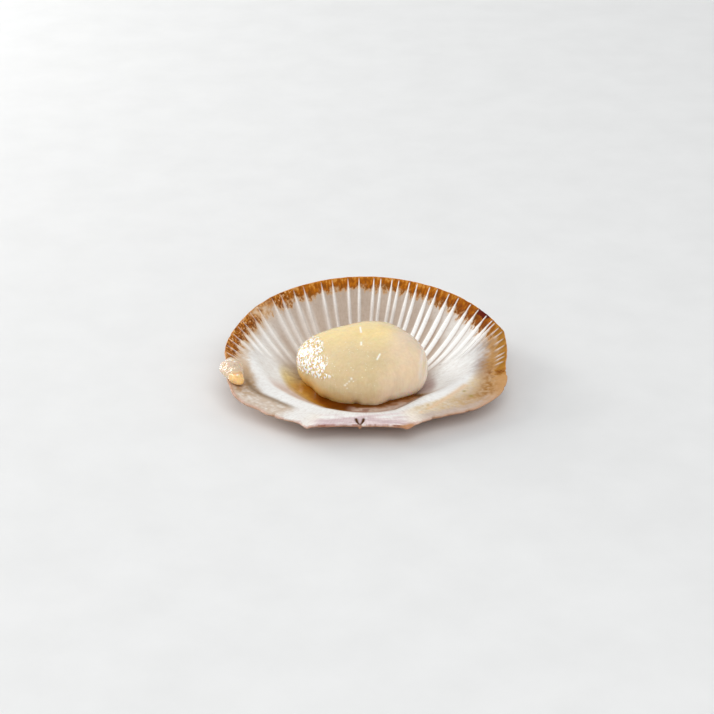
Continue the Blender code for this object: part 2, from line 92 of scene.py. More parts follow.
# Ribs on the inside, in pairs: bearing of the pair's middle and half its spread, in degrees.
RIB_PAIRS = ((-7.2, 1.9), (0.4, 2.7), (10.8, 2.6), (18.5, 1.9), (24.9, 2.3), (35.9, 2.7), (48.5, 2.6),
             (59.1, 1.9), (68.7, 1.8), (76.8, 1.5), (84.7, 1.5), (95.0, 2.4), (106.8, 2.5),
             (120.2, 2.5), (131.9, 2.5), (146.7, 2.8), (159.4, 2.4), (170.1, 2.3), (180.0, 2.6))
RIB_HEIGHT = 0.5 * MM
RIB_WIDTH_AT_RIM = 0.5 * MM
RIB_WIDTH = (1.0, 1.3, 1.7, 1.2, 0.95, 1.1, 1.6, 1.5,
             1.0, 1.0, 1.0, 1.0, 1.0, 1.0, 1.0, 1.0)
RIB_SHARE_OF_GAP = 0.82
RIB_REACH = (0.20, 0.80, 0.80, 0.70, 0.22, 0.10, 0.10, 0.10)
RIB_FOCUS = np.array([-2.0, -43.8]) * MM
RIB_CURL = 0.80
SIDE_CURL = 0.50

# Outside of the valve.
EDGE_THICKNESS = 0.9 * MM
EDGE_ROUND = 0.35 * MM
WALL_THICKNESS = 1.1 * MM
BELLY_THICKNESS = 1.7 * MM
BELLY_CENTRE = np.array([-1.0, 0.5]) * MM
BELLY_POWER = 2.0
OUTER_RIB = 0.45 * MM                # height of the broad ribs outside
FLUTE = 0.10 * MM                    # depth of the flutes at the margin inside

# Mesh of the valve. Its columns end inside on a small circle in the middle of the floor.
FLOOR_CENTRE = np.array([-1.5, -15.0]) * MM
FLOOR_RADIUS = 2.5 * MM
RIB_COLUMNS = 7
GAP_COLUMNS = (0.10, 0.26, 0.42, 0.58, 0.74, 0.90)       # shares of the way from rib to rib
SHOULDER_STEP = 0.15 * MM            # fine step of the margin beside the resilium pit
SHOULDER_SKIP = 3                    # one column in so many is kept elsewhere
INSIDE_ROWS = 78
LIP_ROWS = 6
OUTSIDE_ROWS = 30

# Meat.
MEAT_CENTRE = np.array([-0.6, -8.6, -0.3]) * MM
MEAT_RADIUS = (19.8 * MM, 16.7 * MM)
MEAT_RISE = 10.0 * MM
MEAT_DROP = 8.5 * MM
MEAT_PLAN_POWER = 2.1
MEAT_SIDE_POWER = 2.85
MEAT_WAVES = ((2, -37.0, 0.032), (3, -50.6, 0.043), (4, -14.6, 0.036))
MEAT_BULGE = (0.150, (200, 236, 276, 312))          # how much, and the bearings between which it swells
MEAT_LOBES = ((262.5, 4.2, 0.9), (232.0, 3.0, 0.3), (281.0, 5.0, -0.4), (247.0, 6.0, -0.2),
              (296, 4, 0.4))                        # bearing, spread and depth of its folds
# painted highlights on the meat: glints on top, and the highlights of tiny bubbles on the front
TOP_PAINTED_GLINTS = (((-1.2, 7.2), (-0.9, 3.0), 0.24), ((-0.9, -3.2), (-0.9, -5.0), 0.28),      # on top, in plan
          ((4.0, -12.2), (4.9, -10.0), 0.26))
FRONT_BUBBLE_HIGHLIGHTS = ((-5.9, 3.6, 0.26), (-5.3, 4.2, 0.18), (-4.6, 4.9, 0.20), (-3.9, 5.7, 0.26), (-5.2, 2.7, 0.15),
           (-3.3, 5.0, 0.15))                       # on the front: across, height and size
MEAT_TOP_SLOPE = (0.08, -0.05)
FROTH_HEIGHT, SWELL_HEIGHT, FIBRE_HEIGHT, FOLD_DEPTH = 0.12, 0.12, 0.02, 0.5        # in millimetres
MEAT_COLUMNS = 380
MEAT_ROWS = 190

# Juice.
JUICE_LEVEL = 4.5 * MM
JUICE_FROM = 170
JUICE_TO = 322
JUICE_COLUMNS = 170
JUICE_ROWS = 20
JUICE_SEARCH = 0.05 * MM
JUICE_MENISCUS = 0.15 * MM           # how much it climbs the side of the meat
MENISCUS_WIDTH = 0.7 * MM
JUICE_UNDERLAP = 2.0 * MM            # how far it goes on under the meat, and into the valve
JUICE_OVERLAP = 0.15 * MM
JUICE_SINK = 0.1 * MM                # how far its underside is below the valve's surface
LEAST_JUICE = 0.2 * MM               # its least thickness and width
LEAST_JUICE_WIDTH = 0.1 * MM
FILM_THICKNESS = 0.05 * MM           # at its left end, where it is only a film
FILM_DEEPENS = 3.0 * MM
FILM_ENDS = (172, 206)               # bearings round the meat between which it deepens

# Scrap of mantle on the left rim.
SCRAP_CENTRE = np.array([-41.4, -15.3, 1.3]) * MM
SCRAP_RADIUS = np.array([3.4, 6.6, 2.6]) * MM
SCRAP_LEAN = -0.22
SCRAP_PUFF = 0.32                    # in millimetres
SCRAP_DENT = 0.25 * MM
SCRAP_WAVES = ((3, 170, 0.12), (5, 20, 0.04))
SCRAP_COLUMNS = 110
SCRAP_ROWS = 70
# painted highlights on the top of the scrap: place and size
SCRAP_PAINTED_GLINTS = (((-2.5, 3.2), 0.45), ((-1.2, 3.0), 0.3), ((0.4, 1.4), 0.25), ((1.6, -5.0), 0.3))

# Camera and floor.
CAMERA_DISTANCE = 0.640
CAMERA_RISE = radians(27)
CAMERA_ANGLE = radians(20)           # width of its view
LOOK_BACK = np.array([2.78, 5.12, 0.49]) * MM       # from the place it looks at to the valve's origin
FLOOR_HALF = 3.0

NOISE_CELLS = 32


def ease(low, high, value):
    """Nothing at low, one at high, and smooth between them."""
    share = np.clip((value - low) / (high - low), 0.0, 1.0)
    return share * share * (3.0 - 2.0 * share)


def window(start, full, fade, end, value):
    """One from full to fade, easing to nothing at start and at end."""
    return ease(start, full, value) * (1.0 - ease(fade, end, value))


def smooth_min(first, second, width):
    share = np.clip(0.5 + 0.5 * (second - first) / width, 0.0, 1.0)
    return second + (first - second) * share - width * share * (1.0 - share)


def bell(value, spread):
    return np.exp(-(value / spread) ** 2)


def noise(points, size, seed):
    """Smooth noise from -1 to 1, with bumps about as wide as size."""
    table = np.random.default_rng(seed).uniform(-1.0, 1.0, (NOISE_CELLS,) * 3)
    place = np.asarray(points, float) / size
    cell = np.floor(place).astype(int)
    share = ease(0.0, 1.0, place - cell)
    total = 0.0
    for corner in np.ndindex(2, 2, 2):
        weight = np.prod(np.where(corner, share, 1.0 - share), axis=-1)
        total = total + weight * table[tuple(np.moveaxis((cell + corner) % NOISE_CELLS, -1, 0))]
    return total


def layered_noise(points, size, seed, layers=3):
    return sum(noise(points, size / 2 ** layer, seed + layer) / 2 ** layer for layer in range(layers))


def cubic(before, start, end, after, share):
    """Smooth curve from start to end, at a share of the way, given its neighbours."""
    return start + 0.5 * share * (end - before + share * (
        2 * before - 5 * start + 4 * end - after + share * (3 * (start - end) + after - before)))


def around(stations, bearing):
    """Value at a bearing in radians, from stations evenly spaced round the circle."""
    values = np.asarray(stations, float)
    place = np.asarray(bearing) / (2 * pi) * len(values)
    left = np.floor(place).astype(int)
    return cubic(*(values[(left + step) % len(values)] for step in (-1, 0, 1, 2)), place - left)


def curve_through(points, step):
    """Smooth curve through the points, sampled about every step, without its last point."""
    path = []
    for index in range(1, len(points) - 2):
        before, start, end, after = points[index - 1:index + 3]
        count = max(1, int(round(np.linalg.norm(end - start) / step)))
        path += [cubic(before, start, end, after, share) for share in np.arange(count) / count]
    return np.array(path)


def raised(plan, height):
    """Places in plan, with their height."""
    return np.concatenate([plan, np.broadcast_to(height, plan.shape[:-1])[..., None]], axis=-1)


def disc_point(bearing):
    """Point of the round margin at a bearing in degrees."""
    swells = sum(swell * bell(bearing - middle, spread) for middle, spread, swell in RIM_SWELLS)
    angle = np.radians(bearing)
    return (DISC_RADIUS + swells)[..., None] * np.stack([np.cos(angle), np.sin(angle)], axis=-1)


def hinge_side(step):
    """Margin from the end of the round part over the left shoulder, hinge and right shoulder."""
    plan = [np.array(point) * MM for point in LEFT_SHOULDER + HINGE_LINE + RIGHT_SHOULDER]
    points = [disc_point(DISC_TO - 8), disc_point(DISC_TO)] + plan
    points += [disc_point(DISC_FROM), disc_point(DISC_FROM + 8)]
    return curve_through(points, step)


MARGIN = np.vstack([disc_point(np.arange(DISC_FROM, DISC_TO, 1.0)), hinge_side(0.5 * MM)])


def reach_tables(centre):
    """Bearings, and the distance to the margin at each: exact, and following a rounder outline."""
    margin = MARGIN - centre
    at = np.arctan2(margin[:, 1], margin[:, 0])
    order = np.argsort(at)
    steps = np.linspace(-pi, pi, REACH_STEPS, endpoint=False)
    reach = np.interp(steps, at[order], np.hypot(*margin.T)[order], period=2 * pi)
    weights = np.exp(-0.5 * (steps / radians(REACH_SMOOTHING)) ** 2)
    spectrum = np.fft.rfft(reach) * np.fft.rfft(np.fft.ifftshift(weights / weights.sum()))
    return steps, reach, np.fft.irfft(spectrum, REACH_STEPS)


BOWL_REACH = reach_tables(BOWL_CENTRE)
BELLY_REACH = reach_tables(BELLY_CENTRE)


def share_of_reach(centre, tables, plan):
    """Bearing from a centre, the share of the way to the margin, and the distance to the margin."""
    steps, *reaches = tables
    x, y = plan[..., 0] - centre[0], plan[..., 1] - centre[1]
    bearing = np.arctan2(y, x)
    distance = np.hypot(x, y)
    exact, rounded = (np.interp(bearing, steps, reach, period=2 * pi) for reach in reaches)
    near_margin = np.minimum(distance / exact, 1.0) ** EAR_BLEND
    share = distance / (rounded + (exact - rounded) * near_margin)
    return bearing, np.minimum(share, 1.0), exact


def margin_dip(plan):
    bearing = np.degrees(np.arctan2(plan[..., 1], np.abs(plan[..., 0])))
    return -SHOULDER_DROOP * bell(bearing - DROOP_BEARING, DROOP_SPREAD)


def bowl_profile(rho, bearing, reach):
    start = around(SHELF_START, bearing)
    slope = around(SHELF_SLOPE, bearing)
    power = around(WALL_POWER, bearing)
    shelf = -slope * (1.0 - rho) * reach
    top = BOWL_DEPTH - slope * (1.0 - start) * reach
    wall = -BOWL_DEPTH + top * (rho / start) ** power
    return smooth_min(wall, shelf, SHELF_BLEND)


def inside_height(plan):
    """Height of the inside of the valve, without its ribs."""
    bearing, rho, reach = share_of_reach(BOWL_CENTRE, BOWL_REACH, plan)
    height = bowl_profile(rho, bearing, reach) - bowl_profile(np.ones_like(rho), bearing, reach)
    beside_hinge = 1.0 - ease(-0.5, 0.6, np.sin(bearing))
    height += CALLUS_RISE * beside_hinge * bell(rho - around(SHELF_START, bearing), CALLUS_SPREAD)
    height += margin_dip(plan) * rho ** 4
    inward = (plan[..., 1] - HINGE_LINE[2][1] * MM) / PIT_LENGTH
    half_width = PIT_HALF_WIDTH * np.clip(inward + 0.15, 0.15, 1.0)
    pit = ease(0.0, 0.6, 1.0 - np.abs(plan[..., 0] - PIT_CENTRE_X) / half_width)
    return height - PIT_DEPTH * pit * ease(1.0, 0.7, inward)


def outside_height(plan):
    """Height of the outside of the valve, without its ribs."""
    rho = share_of_reach(BELLY_CENTRE, BELLY_REACH, plan)[1]
    depth = BOWL_DEPTH + BELLY_THICKNESS - EDGE_THICKNESS
    belly = -depth * (1.0 - rho ** BELLY_POWER) - EDGE_THICKNESS + margin_dip(plan) * rho ** 4
    wall = WALL_THICKNESS * ease(1.0, 0.9, rho) + EDGE_THICKNESS * ease(0.9, 1.0, rho)
    return np.minimum(belly, inside_height(plan) - wall)


def tilt(points):
    x, y, z = np.moveaxis(np.asarray(points, float), -1, 0)
    return np.stack([x, y * cos(TILT) - z * sin(TILT), y * sin(TILT) + z * cos(TILT)], axis=-1)


def stance():
    """Where the valve's origin is in the frame: in plan from the CAD shell's box, and up from its foot."""
    grid = np.linspace(-DISC_RADIUS / 2, DISC_RADIUS / 2, 181)
    plan = np.stack(np.meshgrid(grid, grid), axis=-1)
    lowest = tilt(raised(plan, outside_height(plan)))[..., 2].min()
    rim = tilt(raised(MARGIN, margin_dip(MARGIN)))
    middle = (rim.min(axis=0) + rim.max(axis=0)) / 2
    low, high = np.array(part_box("shell"))
    return np.append((low + high)[:2] / 2 - middle[:2], -lowest - FOOT_CUT)


STANCE = stance()


def stand(points):
    return tilt(points) + STANCE


def level_at(plan, height_above_ground):
    """Height of a level surface above the valve's own plane."""
    return (height_above_ground - STANCE[2] - plan[..., 1] * sin(TILT)) / cos(TILT)


# Colours, written as 8-bit sRGB values.

def rgb(red, green, blue):
    share = np.array([red, green, blue]) / 255.0
    return np.where(share > 0.04045, ((share + 0.055) / 1.055) ** 2.4, share / 12.92)


def blend(under, over, amount):
    return under + (over - under) * np.clip(amount, 0.0, 1.0)[..., None]


def painted(tone, *layers):
    """A tone under layers of paint: the colour of each, and how much of it shows."""
    for colour, amount in layers:
        tone = blend(tone, colour, amount)
    return tone


# Meshes.

def tube_faces(rows, columns):
    """Faces of a grid that is closed round its columns, and of the fans that shut its two ends.

    The grid's points come row by row; the points of the two fans' middles come after them.
    """
    grid = np.arange(rows * columns).reshape(rows, columns)
    turned = np.roll(grid, -1, axis=1)
    sides = np.stack([grid[:-1], turned[:-1], turned[1:], grid[1:]], axis=-1).reshape(-1, 4)
    first, last = rows * columns, rows * columns + 1
    fans = [(turned[0, at], grid[0, at], first) for at in range(columns)]
    fans += [(grid[-1, at], turned[-1, at], last) for at in range(columns)]
    return sides, np.array(fans)


def outward(points, faces):
    """The faces, turned over if the closed mesh is inside out."""
    sides, fans = faces
    triangles = np.vstack([sides[:, [0, 1, 2]], sides[:, [0, 2, 3]], fans])
    one, two, three = (points[triangles[:, corner]] for corner in range(3))
    volume = np.einsum("ij,ij->i", one, np.cross(two, three)).sum()
    return faces if volume > 0 else (sides[:, ::-1], fans[:, ::-1])


def grid_normals(points):
    """Unit normals of a grid of points that is closed round its columns."""
    across = np.roll(points, -1, axis=1) - np.roll(points, 1, axis=1)
    along = np.gradient(points, axis=0)
    normal = np.cross(across, along)
    return normal / np.maximum(np.linalg.norm(normal, axis=-1, keepdims=True), 1e-12)


def with_ends(grid, first, last):
    """Values of a grid's points row by row, and then those at the middles of its two ends."""
    return np.concatenate([grid.reshape(-1, *grid.shape[2:]), [first], [last]])


def put(name, data):
    """A new object in the scene."""
    thing = bpy.data.objects.new(name, data)
    bpy.context.scene.collection.objects.link(thing)
    return thing


def make_piece(name, points, shape, finish, node, values, flow=None):
    """A closed piece that replaces a CAD node, with named values or colours at its points."""
    faces = outward(points, tube_faces(*shape))
    corners = [list(map(int, face)) for part in faces for face in part]
    mesh = bpy.data.meshes.new(name)
    mesh.from_pydata(points.tolist(), [], corners)
    mesh.polygons.foreach_set("use_smooth", [True] * len(mesh.polygons))
    for label, value in values.items():
        value = np.asarray(value, np.float32)
        if value.ndim == 2:
            layer = mesh.attributes.new(label, "FLOAT_COLOR", "POINT")
            layer.data.foreach_set("color", np.column_stack([value, np.ones(len(value))]).ravel())
        else:
            mesh.attributes.new(label, "FLOAT", "POINT").data.foreach_set("value", value)
    if flow is not None:
        at = np.empty(len(mesh.loops), int)
        mesh.loops.foreach_get("vertex_index", at)
        mesh.uv_layers.new(name="flow").data.foreach_set("uv", flow[at].ravel())
    mesh.materials.append(finish)
    piece = put(name, mesh)
    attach(piece, "root")
    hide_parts(node)


# Valve.

class Columns:
    """Columns of the valve's mesh, each a line from the margin towards the middle of the floor."""

    def __init__(self):
        rows = []
        ribs = [middle + side * half for middle, half in RIB_PAIRS for side in (-1, 1)]
        ends = [DISC_FROM] + ribs + [DISC_TO]
        for index, bearing in enumerate(ribs):
            gap = DISC_RADIUS * radians(min(bearing - ends[index], ends[index + 2] - bearing))
            phase = index / 2 - 0.25
            for side in np.linspace(-1, 1, RIB_COLUMNS):
                rows.append((*disc_point(bearing), bearing, side, gap, 1.0, phase, 0.0))
            for share in GAP_COLUMNS:
                here = bearing + share * (ends[index + 2] - bearing)
                rows.append((*disc_point(here), here, 0.0, gap, 0.0, phase + share / 2, share))
        for index, point in enumerate(hinge_side(SHOULDER_STEP)):
            beside_pit = abs(point[0] - PIT_CENTRE_X) < PIT_HALF_WIDTH and point[1] < -42.0 * MM
            if beside_pit or index % SHOULDER_SKIP == 0:
                bearing = np.degrees(np.arctan2(point[1], point[0])) % 360
                rows.append((*point, bearing, 0.0, 0.5 * MM, 0.0, 0.5, 0.0))
        table = np.array(rows)
        self.point = table[:, :2]
        self.bearing, self.side, self.gap, self.rib, self.phase, self.between = table[:, 2:].T
        self.angle = np.radians(self.bearing)
        self.direction = self.inward_direction()
        self.on_disc = window(-14, -10, 190, 194, self.turn())
        self.outer_rib = self.on_disc * (0.5 + 0.5 * np.cos(2 * pi * self.phase))
        self.crest = np.flatnonzero((self.rib > 0) & (np.abs(self.side) < 1e-9))
        fixed = np.flatnonzero(self.between == 0)
        index = np.arange(len(table))
        self.before = fixed[np.searchsorted(fixed, index, side="right") - 1]
        self.after = fixed[np.searchsorted(fixed, index, side="left")]
        chips = layered_noise(raised(self.point, 0.0), 2.6 * MM, 11)
        self.chip = np.maximum(chips, 0.0) * (0.75 - 0.55 * self.on_disc) * MM

    def turn(self):
        """Bearings from -90 to 270 degrees."""
        return (self.bearing + 90) % 360 - 90

    def inward_direction(self):
        """Towards the umbo on the round margin, turning towards the floor's middle near the hinge."""
        to_umbo, to_floor = RIB_FOCUS - self.point, FLOOR_CENTRE - self.point
        fan = window(-45, 10, 170, 225, self.turn())
        mixed = (fan / np.linalg.norm(to_umbo, axis=1))[:, None] * to_umbo
        mixed += ((1.0 - fan) / np.linalg.norm(to_floor, axis=1))[:, None] * to_floor
        return mixed / np.linalg.norm(mixed, axis=1)[:, None]

    def curl(self):
        far = window(0, 45, 135, 180, self.bearing)
        return (SIDE_CURL + (RIB_CURL - SIDE_CURL) * far)[:, None]

    def margin(self):
        return self.at(np.zeros((1, len(self.rib))))[0]

    def at(self, share):
        """Places in plan along every column at shares of the way in, and how much of its rib shows."""
        share = share[..., None]
        start = self.point
        from_floor = start - FLOOR_CENTRE
        reach = np.linalg.norm(from_floor, axis=1)[:, None]
        end = FLOOR_CENTRE + FLOOR_RADIUS * from_floor / reach
        pull = self.direction * self.curl() * np.linalg.norm(end - start, axis=1)[:, None]
        near, far = start + pull / 2, start + pull
        rest = 1 - share
        place = rest ** 3 * start + 3 * share * rest * (rest * near + share * far) + share ** 3 * end
        heading = rest ** 2 * (near - start) + 2 * share * rest * (far - near) + share ** 2 * (end - far)
        heading /= np.linalg.norm(heading, axis=-1, keepdims=True)
        sideways = np.stack([heading[..., 1], -heading[..., 0]], axis=-1)
        along_margin = np.column_stack([-np.sin(self.angle), np.cos(self.angle)])
        sideways = along_margin + (sideways - along_margin) * ease(0.0, 0.1, share)
        share = share[..., 0]
        inside_width = around(RIB_WIDTH, self.angle) * MM
        width = RIB_WIDTH_AT_RIM + (inside_width - RIB_WIDTH_AT_RIM) * ease(0.03, 0.22, share)
        width = np.minimum(width, RIB_SHARE_OF_GAP * self.gap * (1.0 - share))
        place = place + sideways * (self.side * width / 2)[..., None]
        before, after = place[:, self.before], place[:, self.after]
        place = before + (after - before) * self.between[:, None]
        place += self.direction * (self.chip * (1.0 - share) ** 2)[..., None]
        rib_reach = around(RIB_REACH, self.angle)
        shown = window(0.0, 0.03, 0.6 * rib_reach, rib_reach, share)
        return place, shown * self.on_disc, width / 2

    def from_crest(self, place):
        """Distance of places on the columns from the nearest rib's crest: negative before it."""
        index = np.arange(len(self.rib))
        after = np.searchsorted(self.crest, index, side="left").clip(0, len(self.crest) - 1)
        before = (np.searchsorted(self.crest, index, side="right") - 1).clip(0)
        ahead, behind = (np.linalg.norm(place - place[:, self.crest[at]], axis=-1) for at in (after, before))
        return np.where(ahead < behind, -ahead, behind)


# Looks of the inside, in rows of 16 stations round the circle, from +X round by +Y.
WHITE_FROM = (0.50, 0.60, 0.74, 0.80, 0.85, 0.80, 0.78, 0.70, 0.57, 0.54, 0.56, 0.60, 0.65, 0.62, 0.54, 0.48)
WHITE_TO = (0.83, 0.88, 0.90, 0.90, 0.90, 0.90, 0.90, 0.90, 0.83, 0.82, 0.83, 0.82, 0.80, 0.79, 0.77, 0.76)
WHITE_AMOUNT = (1.0, 0.85, 0.4, 0.1, 0.0, 0.03, 0.12, 0.55, 0.92, 1.0, 1.0, 0.9, 0.7, 0.8, 1.0, 1.0)
BAND_WIDTH = (3.8, 6.6, 6.6, 5.8, 5.5, 5.6, 6.2, 6.3, 5.5, 1.0, 0.6, 0.6, 0.6, 0.6, 0.8, 3.6)
BAND_AMOUNT = (0.8, 1.0, 1.0, 1.0, 1.0, 1.0, 1.0, 1.0, 0.9, 0.1, 0.0, 0.0, 0.0, 0.0, 0.1, 0.4)
RIB_WHITE = (1.0, 1.0, 1.0, 1.0, 0.92, 0.75, 0.50, 0.70, 0.95, 1.0, 1.0, 1.0, 1.0, 1.0, 1.0, 1.0)
RIB_SOFTNESS = (0.5, 0.4, 0.3, 0.3, 0.4, 0.6, 0.9, 0.9, 0.6, 0.5, 0.5, 0.5, 0.5, 0.5, 0.5, 0.5)

GAP_COLOUR = rgb(188, 170, 154)
WHITE = rgb(240, 240, 237)
RIB_COLOUR = rgb(248, 246, 242)
# painted shadow line at the foot of the ribs
RIB_SHADOW_LINE = rgb(150, 112, 84)
LEFT_SHELF = rgb(204, 185, 165)
LEFT_TAN = rgb(174, 140, 100)
RIGHT_TAN = rgb(180, 134, 74)
RIGHT_BROWN = rgb(148, 98, 44)
RIGHT_SHELF = rgb(218, 196, 158)
RIGHT_RIM = rgb(198, 180, 168)
PLATE = rgb(230, 216, 216)
MARGIN_PINK = rgb(205, 148, 128)
GROOVE = rgb(134, 106, 70)
STREAK = rgb(233, 200, 160)
LILAC = rgb(178, 160, 152)
# painted shadow on the floor beside the meat
MEAT_SHADOW_LILAC = rgb(178, 154, 146)
WALL_BEIGE = rgb(220, 200, 188)
# painted shade in the valley right of the hinge
VALLEY_SHADE = rgb(184, 160, 146)
CREAM = rgb(244, 236, 222)
PLATE_LILAC = rgb(210, 190, 193)
HINGE_EDGE = rgb(128, 66, 44)
# juice in shade right of the hinge, and the line at the meat's foot: painted shade over the juice's own
# brown
SHADED_PURPLE_BROWN = rgb(150, 106, 92)
SHADED_MURKY_BROWN = rgb(156, 110, 76)
SHADED_MURKY_GREY = rgb(196, 172, 156)
FOOT_SHADOW_LINE = rgb(108, 60, 12)
CREVICE = rgb(170, 122, 72)
RESILIUM = rgb(84, 50, 14)
EAR_TAN = rgb(188, 134, 88)
OLIVE = rgb(162, 138, 48)
DOT = rgb(110, 70, 45)
FLAKE = rgb(238, 212, 204)
# the notch in the rim: painted shadow in the break, with brown round it
NICK_SHADOW = rgb(92, 20, 0)
LEFT_FRINGE = rgb(200, 172, 140)
NICK_EDGE = rgb(130, 72, 8)
OUTER_TONE = rgb(214, 176, 140)
# white of the painted highlights on the meat and the scrap
PAINTED_HIGHLIGHT = rgb(255, 253, 246)

# The brown band from the rim inwards, and the growth rings outside: places on a ramp, and colours.
BAND_RAMP = ((0.0, rgb(196, 132, 56)), (0.10, rgb(182, 108, 14)), (0.40, rgb(168, 94, 4)),
             (0.70, rgb(146, 78, 2)), (1.0, rgb(130, 74, 8)))
RING_RAMP = ((0.30, rgb(160, 104, 76)), (0.50, rgb(196, 150, 118)), (0.70, rgb(222, 190, 160)))

# Meat and scrap.
MEAT_TOP = rgb(239, 214, 150)
MEAT_MIDDLE = rgb(218, 196, 152)
MEAT_RIGHT = rgb(234, 210, 176)
MEAT_FRONT = rgb(226, 198, 162)
# painted light: the lower right of the meat made paler, as if lit from the front
MEAT_LIT_LOW_RIGHT = rgb(252, 232, 206)
MEAT_LOW = rgb(222, 178, 90)
MEMBRANE = rgb(240, 230, 218)
SCRAP_PALE = rgb(222, 199, 170)
SCRAP_AMBER = rgb(250, 204, 134)

# Marks on the inside, as lines and spots in plan, in millimetres.
GROOVE_PLACE = (0.83,) * 9 + (0.865, 0.835, 0.84) + (0.83,) * 4
STREAK_LINE = ((30.7, -19.7), (24.9, -26.7), (19.5, -32.8))
# line along which the callus is brightened with painted light
CALLUS_LIGHT_LINE = ((27.0, -12.0), (19.0, -26.0))
EAR_LINE = ((11.2, -43.8), (13.4, -42.9))
PIT_ARMS = ((-3.05, -38.9), (-1.9, -42.2), (-0.75, -38.9))
NICK_LINE = ((37.6, 22.8), (39.2, 19.9))
BLOTCH_LINE = ((41.3, -13.3), (42.6, -12.6))
FLAKED_LINE = ((-35.4, 22.4), (-31.6, 27.0))
# the white spot beside the resilium pit is a painted highlight
INSIDE_SPOTS = (((32.3, -25.9), 0.7, OLIVE), ((30.3, -23.0), 0.5, OLIVE), ((23.8, -0.3), 0.4, DOT),
                ((16.7, -35.1), 0.6, STREAK), ((0.0, -38.4), 0.5, WHITE), ((27.6, 26.4), 0.9, STREAK),
                ((-5.1, 40.7), 0.6, FLAKE), ((-34.6, 23.4), 3.2, STREAK))

# Light lost on the way through a millimetre of juice, there and back, in red, green and blue.
JUICE_LOSS = np.array([0.38, 0.80, 2.15])
STAIN_DEPTH = 0.55 * MM              # how far above the juice the valve is stained by it


def near_line(points, start, *others):
    """Distance of points in plan from a line through places given in millimetres."""
    start, end = np.array(start) * MM, np.array(others[0]) * MM
    along = np.clip((points - start) @ (end - start) / ((end - start) @ (end - start)), 0.0, 1.0)
    apart = np.linalg.norm(points - start - along[..., None] * (end - start), axis=-1)
    return np.minimum(apart, near_line(points, *others)) if others[1:] else apart


def near_spot(points, place):
    return near_line(points, place, (place[0] + SPOT_LENGTH, place[1] + SPOT_LENGTH))


def about_meat(plan):
    """Bearing from the meat's middle in degrees, and the distance beyond its side in millimetres."""
    x, y = plan[..., 0] - MEAT_CENTRE[0], plan[..., 1] - MEAT_CENTRE[1]
    bearing = np.arctan2(y, x)
    return np.degrees(bearing) % 360, (np.hypot(x, y) - meat_reach(bearing)) / MM


def wet(tone, plan, depth):
    """A tone seen through juice: golden where it is shallow, dark brown where there is more of it, and
    darker still with painted shade at the meat's front and foot.
    """
    bearing, beyond = about_meat(plan)
    wander = layered_noise(raised(plan, 0.0) * [0.6, 1.0, 1.0], 1.6 * MM, 141)
    pool = window(154, 190, 318, 334, bearing)
    # in front of the meat the juice is made to look thicker and darker than it is, as painted shade
    front = ease(212, 240, bearing)
    under = np.maximum(depth / MM + 0.3 * (1.0 - front), 0.0) * (1.0 + 1.3 * front)
    under = np.minimum(under, 0.70 + 2.3 * ease(186, 216, bearing)) * pool
    # painted shadow of the meat on the juice, at its front and beside it
    shade_beside_meat = ease(206, 230, bearing) * ease(3.0, 0.2, beyond)
    shadow = np.maximum(ease(226, 246, bearing), shade_beside_meat) * ease(0.0, 1.0, under)
    seen = tone * np.exp(-JUICE_LOSS * under[..., None]) * (1.0 - 0.44 * shadow)[..., None]
    # right of the hinge the valley is painted murky, as juice in shade, with a dark line of painted shadow
    # and brown only at the foot of the meat
    right = ease(254, 266, bearing + 2.0 * wander) * pool * ease(-0.2, 0.4, depth / MM + 0.2)
    shallow = ease(0.5, 2.2, beyond + 0.7 * wander - 0.02 * (bearing - 258))
    line = ease(1.5, 0.5, beyond + 0.45 * wander) * ease(334, 318, bearing)
    murky = painted(
        blend(SHADED_MURKY_BROWN, SHADED_MURKY_GREY, shallow),
        (tone, ease(0.35, -0.35, depth / MM + 0.25 * wander)),
        (SHADED_PURPLE_BROWN, 0.7 * ease(0.1, 0.6, wander) * ease(300, 280, bearing)),
        (FOOT_SHADOW_LINE, line))
    return blend(seen, murky, right)


